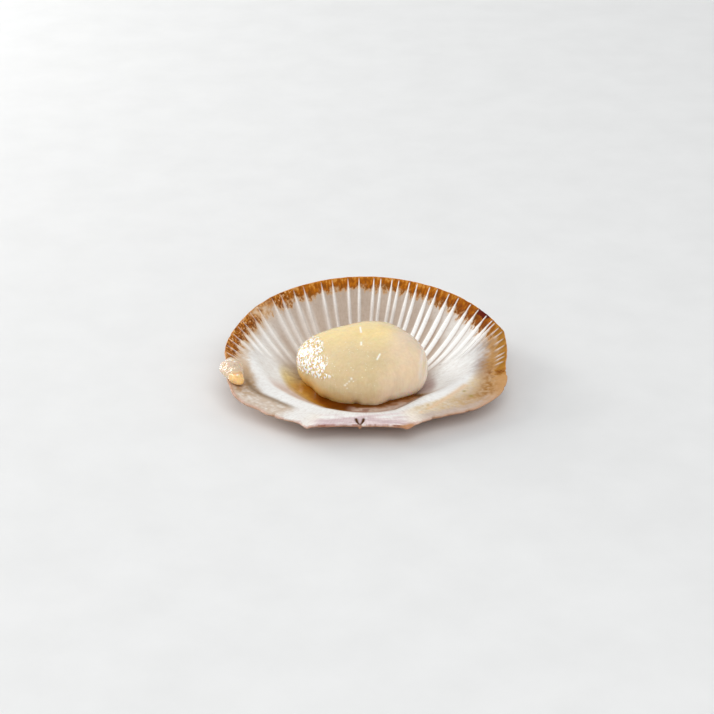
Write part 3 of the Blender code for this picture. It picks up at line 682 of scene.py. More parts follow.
class Inside:
    """Places on the inside, with the noise that makes the edges of its colours wander."""

    def __init__(self, plan, rim):
        self.plan = plan
        self.rim = rim
        self.flat = raised(plan, 0.0)
        self.bearing, self.rho = share_of_reach(BOWL_CENTRE, BOWL_REACH, plan)[:2]
        self.turn = np.degrees(self.bearing) % 360
        self.signed = (self.turn + 180) % 360 - 180
        self.wander = layered_noise(self.flat, 6.0 * MM, 21)
        self.grain = layered_noise(self.flat, 0.9 * MM, 31)
        self.edge = around(SHELF_START, self.bearing) - 0.03 * bell(self.turn - 315, 14)
        self.near_hinge = window(196, 215, 308, 328, self.turn)
        self.south = window(184, 192, 352, 359, self.turn)

    def bowl(self):
        """White callus and greyish furrows, beige towards the hinge, and darker with painted shade right of
        the hinge.
        """
        start, amount = (around(table, self.bearing) for table in (WHITE_FROM, WHITE_AMOUNT))
        low = self.rho + 0.006 * self.wander
        white = amount * ease(start - 0.10, start + 0.08, self.rho + 0.02 * self.wander)
        # painted shade between the hinge's right shelf and the meat
        valley = window(270, 290, 312, 330, self.turn)
        return painted(
            GAP_COLOUR * (1.0 + 0.05 * self.wander[..., None]),
            (WHITE, white),
            (WALL_BEIGE, self.near_hinge * ease(self.edge + 0.01, self.edge - 0.03, low)),
            (VALLEY_SHADE, valley * ease(self.edge + 0.005, self.edge - 0.02, low)))

    def shelf(self):
        """The shelf beside the hinge: brown at the left, sandy at the right, nacre on the plate."""
        turn, rim, grain = self.turn, self.rim, self.grain
        left_tan = blend(LEFT_SHELF, LEFT_TAN, ease(217, 203, turn))
        left_end = 0.9 * ease(230, 238, turn + 2 * self.wander)
        left = blend(WHITE, left_tan, (0.85 + 0.35 * grain) * (1.0 - left_end))
        lateral = ease(306, 334, turn + 4 * self.wander) * ease(13.0, 5.5, rim + 1.5 * grain)
        lateral = lateral * (1.0 - 0.7 * ease(340, 326, turn) * ease(4.5, 1.0, rim))
        right = painted(
            WHITE,
            (RIGHT_SHELF, 0.75 + 0.3 * grain),
            (RIGHT_RIM, 0.9 * ease(5.5, 2.0, rim + grain) * ease(342, 326, turn)),
            (RIGHT_TAN, lateral * (0.95 + 0.2 * grain)))
        sheets = layered_noise(self.flat * [0.22, 1.0, 1.0], 1.3 * MM, 131)
        plate = painted(
            PLATE,
            (PLATE_LILAC, bell(turn - 260, 8)),
            (PLATE_LILAC, 1.6 * sheets),
            (WHITE, -1.6 * sheets),
            (CREAM, ease(252, 243, turn) + ease(286, 294, turn)))
        sides = np.where((turn < 268)[..., None], left, right)
        return blend(sides, plate, window(241, 251, 291, 301, turn))

    def east(self, tone):
        """The right side: lilac, and tan towards the rim, with a brown corner, painted shade on the right
        wall and painted light on the callus.
        """
        rim, grain, signed = self.rim, self.grain, self.signed
        east = window(-22, -8, 8, 24, signed)
        paler = 1.0 - 0.45 * ease(-6.0, 4.0, signed)
        tan_from = 11.0 + 1.6 * ease(-18.0, -8.0, signed)
        corner = window(-38, -26, -12, -2, signed) * window(0.4, 2.0, 5.0, 10.0, rim)
        tone = painted(
            tone,
            (LILAC, 0.8 * paler * east * ease(16.0, 11.5, rim + 0.6 * grain)),
            (RIGHT_TAN, 0.95 * east * ease(tan_from, tan_from - 6.0, rim + grain)),
            (RIGHT_BROWN, (0.32 + 0.65 * grain) * corner))
        # painted shade darkens the right wall, and painted light brightens the callus near the meat's right
        shade = 0.17 * east * window(7.0, 10.0, 14.0, 24.0, rim)
        painted_light = 0.10 * bell(near_line(self.plan, *CALLUS_LIGHT_LINE), 6.0 * MM)
        return tone * (1.0 - shade + painted_light)[..., None]

    def marks(self, tone):
        """Fringe, painted shadow beside the meat, groove, streaks, a painted highlight on the shelf's edge,
        the dark edge and pit of the hinge, and small spots.
        """
        plan, turn, rim, grain = self.plan, self.turn, self.rim, self.grain
        round_meat, beyond = about_meat(plan)
        # painted shadow on the floor at the meat's right
        shade_beside_meat = ease(4.0, 1.0, beyond) * bell((round_meat + 180) % 360 - 168, 22)
        groove = bell(self.rho - around(GROOVE_PLACE, self.bearing) - 0.004 * self.wander, 0.020)
        pink = 0.45 * ease(0.9, 0.2, rim + 0.5 * grain) * (1.0 - 0.7 * ease(290, 300, turn))
        on_hinge = self.south * (np.abs(plan[..., 0] + 2.5 * MM) < 14.0 * MM)
        tone = painted(
            tone,
            (LEFT_FRINGE, 0.85 * window(140, 152, 198, 208, turn) * ease(12.5, 7.5, rim + grain)),
            (MEAT_SHADOW_LILAC, shade_beside_meat),
            (GROOVE, 0.8 * groove * window(197, 202, 228, 238, turn)),
            (STREAK, 0.8 * bell(near_line(plan, *STREAK_LINE), 0.9 * MM)),
            # painted highlight along the crest of the shelf's edge beside the hinge
            (WHITE, 0.9 * self.near_hinge * bell(self.rho - self.edge - 0.025, 0.018)),
            (MARGIN_PINK, self.south * pink),
            (HINGE_EDGE, 0.9 * on_hinge * ease(0.5, 0.1, rim + 0.2 * grain)),
            (EAR_TAN, bell(near_line(plan, *EAR_LINE), 1.3 * MM)),
            (RESILIUM, 1.5 * bell(near_line(plan, *PIT_ARMS), 0.42 * MM)))
        for place, size, colour in INSIDE_SPOTS:
            tone = blend(tone, colour, 0.8 * bell(near_spot(plan, place), size * MM))
        return tone


def inside_tone(plan, rim):
    """Colour of the inside, without its ribs and brown band, at places in plan and from the rim."""
    here = Inside(plan, rim)
    shelf_from = around(WHITE_TO, here.bearing)
    shelf = here.south * ease(shelf_from - 0.02, shelf_from + 0.03, here.rho + 0.01 * here.wander)
    return here.marks(here.east(blend(here.bowl(), here.shelf(), shelf)))


def rib_marks(rim, from_crest, half, shown, bearing):
    """How much of the ribs' white shows at places on the inside, and of the painted shadow line at their
    foot.
    """
    turn = np.degrees(bearing)
    across = from_crest / np.maximum(half, 0.001 * MM)
    ratio = np.abs(across)
    softness = around(RIB_SOFTNESS, bearing) * ease(1.0, 9.0, rim)
    fine = 0.3 * ease(6.0, 3.0, rim)
    white = ease(1.15 - fine + softness, 0.85 - fine - 0.7 * softness, ratio)
    white *= around(RIB_WHITE, bearing) * shown
    left_end = ease(138, 148, turn)
    white *= ease(0.3, 1.8 + 3.5 * ease(64, 112, turn) * (1.0 - left_end), rim)
    white *= 1.0 - left_end * ease(0.3, 1.1, ratio + 0.2) * ease(6.5, 4.5, rim)
    white *= 1.0 - 0.5 * left_end * ease(12.0, 5.0, rim)
    white *= 1.0 - 0.5 * window(62, 76, 120, 135, turn) * ease(7.0, 17.0, rim)
    flame = 0.6 * ease(150, 164, turn) * ease(2.0, 0.6, ratio) * ease(5.0, 11.0, rim)
    veil = 0.34 * window(100, 116, 150, 162, turn) * ease(3.0, 0.6, ratio)
    white = np.maximum(white, shown * np.maximum(flame, veil * ease(4.0, 10.0, rim)))
    teeth = 0.55 * window(0.6, 2.4, 3.5, 7.0, rim) * ease(1.5, 0.4, ratio)
    white *= 1.0 - ease(24, 14, turn) * (1.0 - teeth)
    # painted shadow: a thin dark line beside one side of each rib on the right wall
    foot = window(12, 24, 50, 66, turn) * shown * bell(across + 1.35, 0.35) * ease(3.0, 6.0, rim)
    return white, foot


def valve_inside(columns):
    """Rows from the margin inwards: plan, points, distance from the rim, colour and the ribs' white."""
    lead = EDGE_ROUND / np.linalg.norm(columns.point - FLOOR_CENTRE, axis=1)
    rows = (np.arange(INSIDE_ROWS) / (INSIDE_ROWS - 1))[:, None] ** 1.5
    plan, shown, half = columns.at(lead + (1.0 - lead) * rows)
    crest = shown * columns.rib * (1.0 - columns.side ** 2) ** 1.5
    flute = FLUTE * np.cos(2 * pi * columns.phase) * columns.on_disc * np.exp(-rows * 6)
    height = inside_height(plan) + RIB_HEIGHT * crest - flute * (rows > 0)
    rim = np.linalg.norm(plan - columns.point, axis=-1) / MM
    white, foot = rib_marks(rim, columns.from_crest(plan), half, shown, columns.angle)
    tone = blend(inside_tone(plan, rim), RIB_SHADOW_LINE, 0.6 * foot)
    tone = wet(tone, plan, level_at(plan, JUICE_LEVEL) - height + STAIN_DEPTH)
    return plan, stand(raised(plan, height)), rim, tone, white


def valve_lip(columns):
    turn = (np.arange(1, LIP_ROWS + 1) / (LIP_ROWS + 1) * pi)[:, None]
    edge = columns.margin() + columns.direction * (EDGE_ROUND * (1 - np.sin(turn)))[..., None]
    return stand(raised(edge, margin_dip(edge) - EDGE_THICKNESS / 2 * (1 - np.cos(turn))))


def valve_outside(columns):
    """Rows from the margin to the foot: points, and the distance from the rim."""
    share = (np.linspace(0.0, 1.0, OUTSIDE_ROWS) ** 1.3)[:, None, None]
    start = columns.margin() + columns.direction * EDGE_ROUND
    spokes = start - FOOT_CENTRE
    foot = FOOT_CENTRE + FOOT_RADIUS * spokes / np.linalg.norm(spokes, axis=-1, keepdims=True)
    plan = start * (1 - share) + foot * share
    ribs = OUTER_RIB * window(0.0, 0.12, 0.35, 0.9, share)[..., 0] * columns.outer_rib
    outer = stand(raised(plan, outside_height(plan) - ribs))
    beyond = np.linalg.norm(plan - FOOT_CENTRE, axis=-1) - FOOT_RADIUS
    outer[..., 2] = np.maximum(outer[..., 2], FOOT_LIFT * beyond)
    outer[-1, :, 2] = 0.0
    return outer, np.linalg.norm(plan - start, axis=-1) / MM


def band_looks(columns, plan, rim):
    """Where the brown band is, in shares of its width, and how much of each of its looks shows."""
    turn = columns.bearing % 360 + 0 * rim
    patchy = layered_noise(raised(plan, 0.0), 1.5 * MM, 151)
    uneven = 0.07 * np.cos(4 * pi * columns.phase) + 0.08 * np.sin(5.1 * columns.phase)
    flaked = 0.85 * bell(near_line(plan, *FLAKED_LINE), 3.0 * MM) * (0.9 + 0.6 * patchy)
    folds = 0.95 * ease(338, 347, turn + 2.0 * patchy)
    shown = np.maximum(np.clip(around(BAND_AMOUNT, columns.angle), 0, 1), folds)
    return {
        "band": rim / (around(BAND_WIDTH, columns.angle) * (1.0 + uneven)),
        "banding": shown * (1.0 - np.clip(flaked, 0.0, 1.0)),
        # painted shade: the band darker and more saturated towards the right, where the lamp from the left
        # falls on it
        "deep": ease(66, 40, turn) * (0.35 + 0.65 * ease(10, 28, turn)),
        "golden": np.maximum(ease(328, 340, turn), ease(24, 12, turn)),
        "mottled": window(112, 132, 190, 200, turn),
        # painted shadow in the notch of the rim, and a real dark blotch on the margin
        "nick": np.maximum(bell(near_line(plan, *NICK_LINE), 1.8 * MM),
                           0.58 * bell(near_line(plan, *BLOTCH_LINE), 1.4 * MM)),
    }


def make_valve():
    columns = Columns()
    count = len(columns.rib)
    plan, inside, rim, tone, white = valve_inside(columns)
    lip = valve_lip(columns)
    outside, outside_rim = valve_outside(columns)
    floor = stand([*FLOOR_CENTRE, inside_height(FLOOR_CENTRE)])
    below = np.append(outside[-1].mean(axis=0)[:2], 0.0)

    def whole(inner, lip=0.0, outer=0.0, floor=0.0, below=0.0):
        """Values of the whole mesh from those inside, on the lip and outside, and at its two middles."""
        blocks = zip((inner, lip, outer), (INSIDE_ROWS, LIP_ROWS, OUTSIDE_ROWS))
        grids = [np.broadcast_to(block, (rows, count, *np.shape(floor))) for block, rows in blocks]
        return with_ends(np.concatenate([grids[0][::-1], *grids[1:]]), floor, below)

    looks = band_looks(columns, plan, rim)
    values = {
        "tone": whole(tone, tone[0], OUTER_TONE, GAP_COLOUR, OUTER_TONE),
        "band": whole(looks["band"], floor=9.0),
        "banding": whole(looks["banding"], looks["banding"][0]),
        "deep": whole(looks["deep"]),
        "golden": whole(looks["golden"]),
        "mottled": whole(looks["mottled"]),
        "nick": whole(looks["nick"], looks["nick"][0]),
        "rim": whole(rim, 0.0, outside_rim, 40.0, 40.0),
        "rib": whole(white),
        "outside": whole(0.0, np.linspace(0, 1, LIP_ROWS)[:, None], 1.0, 0.0, 1.0),
        "ridge": whole(0.0, 0.0, columns.outer_rib),
    }
    arc = np.cumsum(np.linalg.norm(np.roll(columns.point, -1, axis=0) - columns.point, axis=1)) / MM
    flow = np.stack([whole(arc, arc, arc), whole(rim, 0.0, -outside_rim, 40.0, -40.0)], axis=-1)
    points = whole(inside, lip, outside, floor, below)
    shape = (INSIDE_ROWS + LIP_ROWS + OUTSIDE_ROWS, count)
    make_piece("shell_valve", points, shape, shell_finish(), "shell", values, flow)


# Meat.

def meat_reach(bearing):
    across = np.abs(np.cos(bearing) / MEAT_RADIUS[0]) ** MEAT_PLAN_POWER
    along = np.abs(np.sin(bearing) / MEAT_RADIUS[1]) ** MEAT_PLAN_POWER
    waves = sum(size * np.cos(lobes * (bearing - radians(at))) for lobes, at, size in MEAT_WAVES)
    bulge = MEAT_BULGE[0] * window(*MEAT_BULGE[1], np.degrees(bearing) % 360)
    return (across + along) ** (-1.0 / MEAT_PLAN_POWER) * (1.0 + waves + bulge)


def meat_side(height):
    share = np.clip(-height / MEAT_DROP, 0.0, 1.0)
    return (1.0 - share ** MEAT_SIDE_POWER) ** (1.0 / MEAT_SIDE_POWER)


def meat_profile(rows):
    """Share of the reach and of the rise on evenly spaced rows from the bottom to the top."""
    angle = np.linspace(-pi / 2, pi / 2, 4001)
    out = np.cos(angle) ** (2 / MEAT_SIDE_POWER)
    rise = np.sign(np.sin(angle)) * np.abs(np.sin(angle)) ** (2 / MEAT_SIDE_POWER)
    tall = np.where(rise > 0, MEAT_RISE, MEAT_DROP)
    steps = np.hypot(np.diff(out) * np.mean(MEAT_RADIUS), np.diff(rise * tall))
    path = np.concatenate([[0.0], np.cumsum(steps)])
    at = np.linspace(0.0, path[-1], rows + 2)[1:-1]
    return np.interp(at, path, out), np.interp(at, path, rise)


def meat_relief(local, bearing, rise):
    """How far the meat's folds, fibres and froth stand out of its plain form, and where froth is."""
    x, y, z = (local[..., axis] / MM for axis in range(3))
    uneven = layered_noise(local, 2.2 * MM, 45, 2)
    froth = ease(0.4, -1.6, x + 0.2 * y + 13.0 + 1.2 * uneven)
    froth = froth * ease(-0.5, 0.6, z - 0.43 * x - 8.6 + 0.6 * uneven)
    bumps = 1.0 - 2.0 * np.abs(layered_noise(local, 1.3 * MM, 41, 2))
    soft = layered_noise(local * [1, 1, 0.6], 5.0 * MM, 51) * SWELL_HEIGHT
    fibre = noise(local * [1, 1, 0.15], 0.8 * MM, 61) * FIBRE_HEIGHT * ease(0.9, 0.2, np.abs(rise))
    folds = np.maximum(noise(local * [1, 1, 0.2], 3.2 * MM, 71), 0.0)
    folds = FOLD_DEPTH * ease(-0.1, -0.8, rise) * folds
    for at, spread, depth in MEAT_LOBES:
        folds = folds + ease(0.0, -0.5, rise) * depth * bell(np.degrees(bearing) - at, spread)
    return (froth * bumps * FROTH_HEIGHT + soft + fibre - folds) * MM, froth


def meat_tone(local):
    """Colour of the meat: cream on top, warmer below and at the front, with painted light at the lower right
    and small painted highlights for wet glints and bubbles.
    """
    x, y, z = (local[..., axis] / MM for axis in range(3))
    cloud = 2 * noise(local, 6 * MM, 81)
    tone = painted(
        MEAT_TOP,
        (MEAT_MIDDLE, ease(-3, 15, -0.3 * x - 1.2 * y + cloud)),
        (MEAT_RIGHT, ease(6, 14, x - 0.2 * y + cloud)),
        (MEAT_FRONT, ease(2, -6, z) * ease(4, -8, y)),
        # painted light on the lower right, standing in for light from the front
        (MEAT_LIT_LOW_RIGHT, ease(5, -2, z) * ease(2, 14, x)),
        (MEAT_LOW, ease(2, -4, z) * ease(4, -14, x)))
    tone = tone * (1 + 0.04 * layered_noise(local, 2.0 * MM, 91)[..., None])
    membrane = bell(x - 18.6 + 0.12 * np.abs(y + 1), 0.6) * ease(-3, 3, z)
    tone = blend(tone, MEMBRANE, 0.6 * membrane)
    # painted highlights: white glints on top, and the highlights of tiny bubbles on the front
    for start, end, size in TOP_PAINTED_GLINTS:
        tone = blend(tone, PAINTED_HIGHLIGHT, bell(near_line(local[..., :2], start, end), size * MM) * (z > 2))
    for across, height, size in FRONT_BUBBLE_HIGHLIGHTS:
        apart = near_line(local[..., [0, 2]], (across, height), (across + 0.05, height))
        tone = blend(tone, PAINTED_HIGHLIGHT, bell(apart, size * MM) * (y < -8))
    return tone


def laid_in_valve(local, centre):
    """Points round a centre, kept off the valve, with the middles of their two ends, in the frame."""
    points = local + centre
    points[..., 2] = np.maximum(points[..., 2], inside_height(points) + TOUCH)
    ends = ([*centre[:2], points[row, :, 2].mean()] for row in (0, -1))
    return stand(with_ends(points, *ends))


def make_meat():
    bearing = 2 * pi * np.arange(MEAT_COLUMNS) / MEAT_COLUMNS
    out, rise = (value[:, None] for value in meat_profile(MEAT_ROWS))
    across = out * meat_reach(bearing) * np.cos(bearing)
    along = out * meat_reach(bearing) * np.sin(bearing)
    lean = (MEAT_TOP_SLOPE[0] * across + MEAT_TOP_SLOPE[1] * along) * np.maximum(rise, 0.0)
    local = np.stack([across, along, rise * np.where(rise > 0, MEAT_RISE, MEAT_DROP) + lean], axis=-1)
    normal = grid_normals(local)
    normal *= np.sign((normal * local).sum(axis=-1, keepdims=True))
    relief, froth = meat_relief(local, bearing, rise)
    local = local + normal * relief[..., None]
    x, y, z = (local[..., axis] / MM for axis in range(3))
    # where loose specks of painted highlight show, on the left front of the meat above its middle
    highlight_flecks = ease(3, -2, x + 0.2 * y) * ease(0, 3, z) * ease(3, -4, y)
    values = {
        "tone": with_ends(meat_tone(local), MEAT_LOW, MEAT_TOP),
        "froth": with_ends(froth, 0.0, 0.0),
        "highlight_flecks": with_ends(highlight_flecks, 0.0, 0.0),
    }
    make_piece("adductor_meat", laid_in_valve(local, MEAT_CENTRE), (MEAT_ROWS, MEAT_COLUMNS),
               meat_finish(), "meat", values)


# Juice.

def from_meat(bearing, out):
    """Places in plan at distances out from the middle of the meat."""
    return MEAT_CENTRE[:2] + out[:, None] * [cos(bearing), sin(bearing)]


def juice_edges(bearing):
    out = np.arange(0.0, DISC_RADIUS, JUICE_SEARCH)
    plan = from_meat(bearing, out)
    level = level_at(plan, JUICE_LEVEL)
    clear = out > meat_reach(bearing) * meat_side(level - MEAT_CENTRE[2])
    inner = out[np.argmax(clear)]
    return inner, max(out[np.argmax(clear & (level <= inside_height(plan)))], inner + LEAST_JUICE_WIDTH)


def juice_ring(bearing):
    """Section of the juice away from the meat, its top outwards and its bottom back, and its colours."""
    inner, outer = juice_edges(bearing)
    start = inner - JUICE_UNDERLAP
    out = start + (outer + JUICE_OVERLAP - start) * np.linspace(0, 1, JUICE_ROWS) ** 0.8
    plan = from_meat(bearing, out)
    wall = inside_height(plan)
    level = level_at(plan, JUICE_LEVEL)
    film = FILM_THICKNESS + FILM_DEEPENS * ease(*FILM_ENDS, np.degrees(bearing))
    climb = JUICE_MENISCUS * np.exp(-np.maximum(out - inner, 0.0) / MENISCUS_WIDTH)
    top = np.minimum(level, wall + film) + climb
    bottom = np.minimum(wall - JUICE_SINK, top - LEAST_JUICE)
    rim = (DISC_RADIUS - np.hypot(*plan.T)) / MM
    seen = wet(inside_tone(plan, rim), plan, level - wall + STAIN_DEPTH)
    return np.vstack([raised(plan, top), raised(plan, bottom)[::-1]]), np.vstack([seen, seen[::-1]])


def make_juice():
    bearings = np.radians(np.linspace(JUICE_FROM, JUICE_TO, JUICE_COLUMNS))
    grids = map(np.array, zip(*map(juice_ring, bearings)))
    points, tone = (with_ends(grid, grid[0].mean(axis=0), grid[-1].mean(axis=0)) for grid in grids)
    make_piece("pooled_juice", stand(points), (JUICE_COLUMNS, 2 * JUICE_ROWS), juice_finish(),
               "juice", {"tone": tone})


# Scrap of mantle.

def make_scrap():
    bearing = 2 * pi * np.arange(SCRAP_COLUMNS) / SCRAP_COLUMNS
    angle = np.linspace(-pi / 2, pi / 2, SCRAP_ROWS + 2)[1:-1, None]
    reach = 1.0 + sum(size * np.cos(lobes * (bearing - radians(at))) for lobes, at, size in SCRAP_WAVES)
    unit = np.stack([reach * np.cos(angle) * np.cos(bearing), reach * np.cos(angle) * np.sin(bearing),
                     np.sin(angle) + 0 * bearing], axis=-1)
    local = unit * SCRAP_RADIUS
    local[..., 0] += SCRAP_LEAN * local[..., 1]
    seam = unit[..., 1] + 0.68 - 0.25 * np.maximum(unit[..., 0] - 0.3, 0.0) ** 0.5
    dent = bell(seam, 0.12) * ease(-0.2, 0.6, unit[..., 2])
    puff = layered_noise(local, 1.6 * MM, 101) * SCRAP_PUFF * MM - SCRAP_DENT * dent
    local = local + unit * puff[..., None]
    tone = painted(
        SCRAP_PALE,
        (SCRAP_AMBER, ease(0.22, -0.10, seam)),
        (CREVICE, 0.35 * bell(seam, 0.05) * ease(-0.4, 0.2, unit[..., 0])))
    tone = tone * (1 + 0.08 * layered_noise(local, 0.8 * MM, 111)[..., None])
    # painted highlights on the scrap's top
    for place, size in SCRAP_PAINTED_GLINTS:
        painted_glint = bell(near_spot(local[..., :2], place), size * MM) * (unit[..., 2] > 0)
        tone = blend(tone, PAINTED_HIGHLIGHT, 1.3 * painted_glint)
    values = {"tone": with_ends(tone, SCRAP_AMBER, SCRAP_PALE)}
    make_piece("mantle_piece", laid_in_valve(local, SCRAP_CENTRE), (SCRAP_ROWS, SCRAP_COLUMNS),
               scrap_finish(), "mantle_scrap", values)


# Finishes.

class Finish:
    """A material with one Principled shader, and short ways to add nodes to it."""

    def __init__(self, name, **settings):
        self.material = bpy.data.materials.new(name)
        self.material.use_nodes = True
        self.tree = self.material.node_tree
        self.shader = self.tree.nodes["Principled BSDF"]
        for socket, value in settings.items():
            self.shader.inputs[socket.replace("_", " ").title().replace("Ior", "IOR")].default_value = value

    def add(self, kind, inputs, output=0, **settings):
        node = self.tree.nodes.new("ShaderNode" + kind)
        for name, value in settings.items():
            setattr(node, name, value)
        for socket, value in inputs.items():
            if isinstance(value, bpy.types.NodeSocket):
                self.tree.links.new(value, node.inputs[socket])
            else:
                node.inputs[socket].default_value = value
        return node.outputs[output]

    def value(self, name):
        return self.add("Attribute", {}, "Fac", attribute_name=name)

    def colour(self, name):
        return self.add("Attribute", {}, "Color", attribute_name=name)

    def object_mm(self, *scale):
        place = self.add("TexCoord", {}, "Object")
        scale = [stretch / MM for stretch in scale or (1, 1, 1)]
        return self.add("Mapping", {"Vector": place, "Scale": scale})

    def flow_mm(self, along, inwards):
        place = self.add("UVMap", {}, uv_map="flow")
        return self.add("Mapping", {"Vector": place, "Scale": (along, inwards, 1.0)})

    def noise(self, vector, scale, detail=3.0, roughness=0.55):
        inputs = {"Vector": vector, "Scale": scale, "Detail": detail, "Roughness": roughness}
        return self.add("TexNoise", inputs, "Fac")

    def cells(self, vector, scale):
        inputs = {"Vector": vector, "Scale": scale, "Smoothness": 0.0}
        return self.add("TexVoronoi", inputs, "Distance", feature="SMOOTH_F1")

    def maths(self, operation, one, two, clamp=False):
        return self.add("Math", {0: one, 1: two}, operation=operation, use_clamp=clamp)

    def times(self, one, two, clamp=False):
        return self.maths("MULTIPLY", one, two, clamp)

    def plus(self, *parts):
        total, *others = parts
        for part in others:
            total = self.maths("ADD", total, part)
        return total

    def between(self, value, low, high, to_low=0.0, to_high=1.0):
        inputs = {"Value": value, "From Min": low, "From Max": high, "To Min": to_low, "To Max": to_high}
        return self.add("MapRange", inputs, interpolation_type="SMOOTHSTEP")

    def ramp(self, value, *stops):
        out = self.add("ValToRGB", {0: value}, "Color")
        ramp = out.node.color_ramp
        while len(ramp.elements) < len(stops):
            ramp.elements.new(0.5)
        for element, (place, colour) in zip(ramp.elements, stops):
            element.position = place
            element.color = (*colour, 1.0)
        return out

    def painted(self, tone, *layers):
        """A tone under layers of paint: the colour of each, how much of it shows, and how it is mixed."""
        for colour, amount, *kind in layers:
            if not isinstance(colour, bpy.types.NodeSocket):
                colour = (*colour, 1.0)
            tone = self.add("Mix", {0: amount, 6: tone, 7: colour}, 2, data_type="RGBA",
                            blend_type="".join(kind) or "MIX", clamp_factor=True)
        return tone

    def bump(self, height, distance):
        return self.add("Bump", {"Height": height, "Distance": distance, "Strength": 1.0})

    def use(self, **links):
        for socket, value in links.items():
            self.tree.links.new(value, self.shader.inputs[socket.replace("_", " ").title()])
        return self.material


def brown_band(look):
    """Colour of the band along the margin: golden, brown, and mottled at the left."""
    uneven = look.noise(look.flow_mm(0.9, 0.38), 1.0, 2.0, 0.55)
    hue = look.plus(look.value("band"), look.between(uneven, 0.28, 0.72, -0.50, 0.50))
    blotches = look.noise(look.flow_mm(0.9, 0.8), 1.0, 2.0, 0.6)
    mottled = look.value("mottled")
    return look.painted(
        look.ramp(hue, *BAND_RAMP),
        # painted shade on the band at the right
        (rgb(224, 210, 100), look.value("deep"), "MULTIPLY"),
        (rgb(168, 118, 40), look.times(look.value("golden"), 0.8)),
        (rgb(104, 52, 2), look.times(look.between(blotches, 0.48, 0.57, 0.0, 0.70), mottled)),
        (rgb(214, 174, 126), look.times(look.between(blotches, 0.44, 0.36, 0.0, 0.80), mottled)))


def shell_finish():
    look = Finish("shell_nacre", coat_weight=0.06, coat_roughness=0.2, specular_ior_level=0.12)
    here = look.object_mm()
    streaks = look.noise(look.flow_mm(3.0, 0.30), 1.0, 3.0, 0.6)
    mottle = look.noise(here, 0.9, 4.0, 0.6)
    ragged = look.noise(look.flow_mm(0.6, 0.35), 1.0, 4.0, 0.6)
    rings = look.noise(look.flow_mm(0.03, 0.50), 1.0, 5.0, 0.65)
    banding, outside = look.value("banding"), look.value("outside")
    place = look.plus(look.value("band"), look.between(ragged, 0.3, 0.7, -0.30, 0.30))
    band = look.times(look.between(place, 1.36, 0.66), banding)
    lip = look.times(look.between(look.value("rim"), 0.45, 0.1), banding)
    nick = look.plus(look.value("nick"), look.between(mottle, 0.3, 0.7, -0.15, 0.15))
    patchy = look.between(look.noise(here, 1.4), 0.25, 0.5, 0.72, 1.0)
    outer = look.painted(
        look.ramp(rings, *RING_RAMP),
        (rgb(236, 216, 196), look.between(look.value("ridge"), 0.3, 0.9, 0.0, 0.6)),
        (rgb(176, 130, 100), look.between(mottle, 0.4, 0.7, 0.0, 0.5), "MULTIPLY"))
    tone = look.painted(
        look.colour("tone"),
        (rgb(170, 144, 126), look.between(streaks, 0.3, 0.7, 0.22, 0.0), "MULTIPLY"),
        (rgb(180, 150, 126), look.between(mottle, 0.45, 0.75, 0.0, 0.16), "MULTIPLY"),
        (rgb(196, 152, 104), look.times(band, 2.0, clamp=True)),
        (brown_band(look), look.between(band, 0.15, 1.0)),
        (rgb(222, 160, 110), look.times(lip, 0.7)),
        # brown round the notch and the painted shadow in it
        (NICK_EDGE, look.between(nick, 0.10, 0.60, 0.0, 0.8)),
        (NICK_SHADOW, look.between(nick, 0.50, 0.68)),
        (RIB_COLOUR, look.times(look.value("rib"), patchy)),
        (outer, outside))
    relief = look.times(look.times(rings, outside), 0.25)
    height = look.plus(look.times(streaks, 0.05), look.times(mottle, 0.04), relief)
    rough = look.maths("MAXIMUM", look.between(band, 0.0, 0.6, 0.36, 0.6),
                       look.between(outside, 0.0, 0.5, 0.36, 0.65))
    return look.use(base_color=tone, roughness=rough, normal=look.bump(height, MM))


def meat_finish():
    look = Finish("scallop_meat", roughness=0.36, coat_weight=1.0, coat_roughness=0.07, coat_ior=1.40,
                  subsurface_weight=0.55, subsurface_scale=MM, subsurface_radius=(3.0, 1.6, 0.8))
    here = look.object_mm()
    froth = look.value("froth")
    fine = look.noise(here, 0.7, 1.0, 0.5)
    fibre = look.noise(look.object_mm(1.3, 1.3, 0.35), 1.0, 3.0, 0.55)
    # froth: joined white drops on the left side, a painted highlight on the wet froth, and a few loose
    # specks of painted highlight beside it
    drops = look.noise(look.object_mm(1.5, 0.85, 1.05), 1.0, 1.5, 0.5)
    patches = look.between(look.noise(here, 0.40, 1.0), 0.35, 0.65, -0.03, 0.03)
    joined = look.plus(drops, patches, look.times(froth, 0.06))
    sparkle = look.times(look.between(joined, 0.545, 0.60), froth)
    highlight_flecks = look.between(look.cells(here, 0.8), 0.16, 0.08, 0.0, 0.6)
    tone = look.painted(
        look.colour("tone"),
        (rgb(196, 162, 118), look.between(fibre, 0.35, 0.7, 0.0, 0.10), "MULTIPLY"),
        (rgb(250, 240, 215), look.between(look.noise(here, 2.4), 0.6, 0.72, 0.0, 0.25)),
        (rgb(204, 164, 88), look.times(froth, look.between(joined, 0.56, 0.45, 0.0, 0.5))),
        (PAINTED_HIGHLIGHT, sparkle),
        (PAINTED_HIGHLIGHT, look.times(highlight_flecks, look.value("highlight_flecks"))))
    height = look.plus(look.times(fine, 0.10), look.times(sparkle, 0.12), look.times(fibre, 0.04))
    wet_bump = look.bump(height, MM)
    return look.use(base_color=tone, normal=wet_bump, coat_normal=wet_bump)


def juice_finish():
    look = Finish("shell_juice", roughness=0.16, ior=1.33, specular_ior_level=0.22)
    here = look.object_mm()
    cloudy = look.between(look.noise(here, 0.6), 0.35, 0.7, 0.0, 0.25)
    tone = look.painted(look.colour("tone"), (rgb(150, 105, 60), cloudy, "MULTIPLY"))
    return look.use(base_color=tone, normal=look.bump(look.noise(here, 0.5, 2.0), 0.08 * MM))


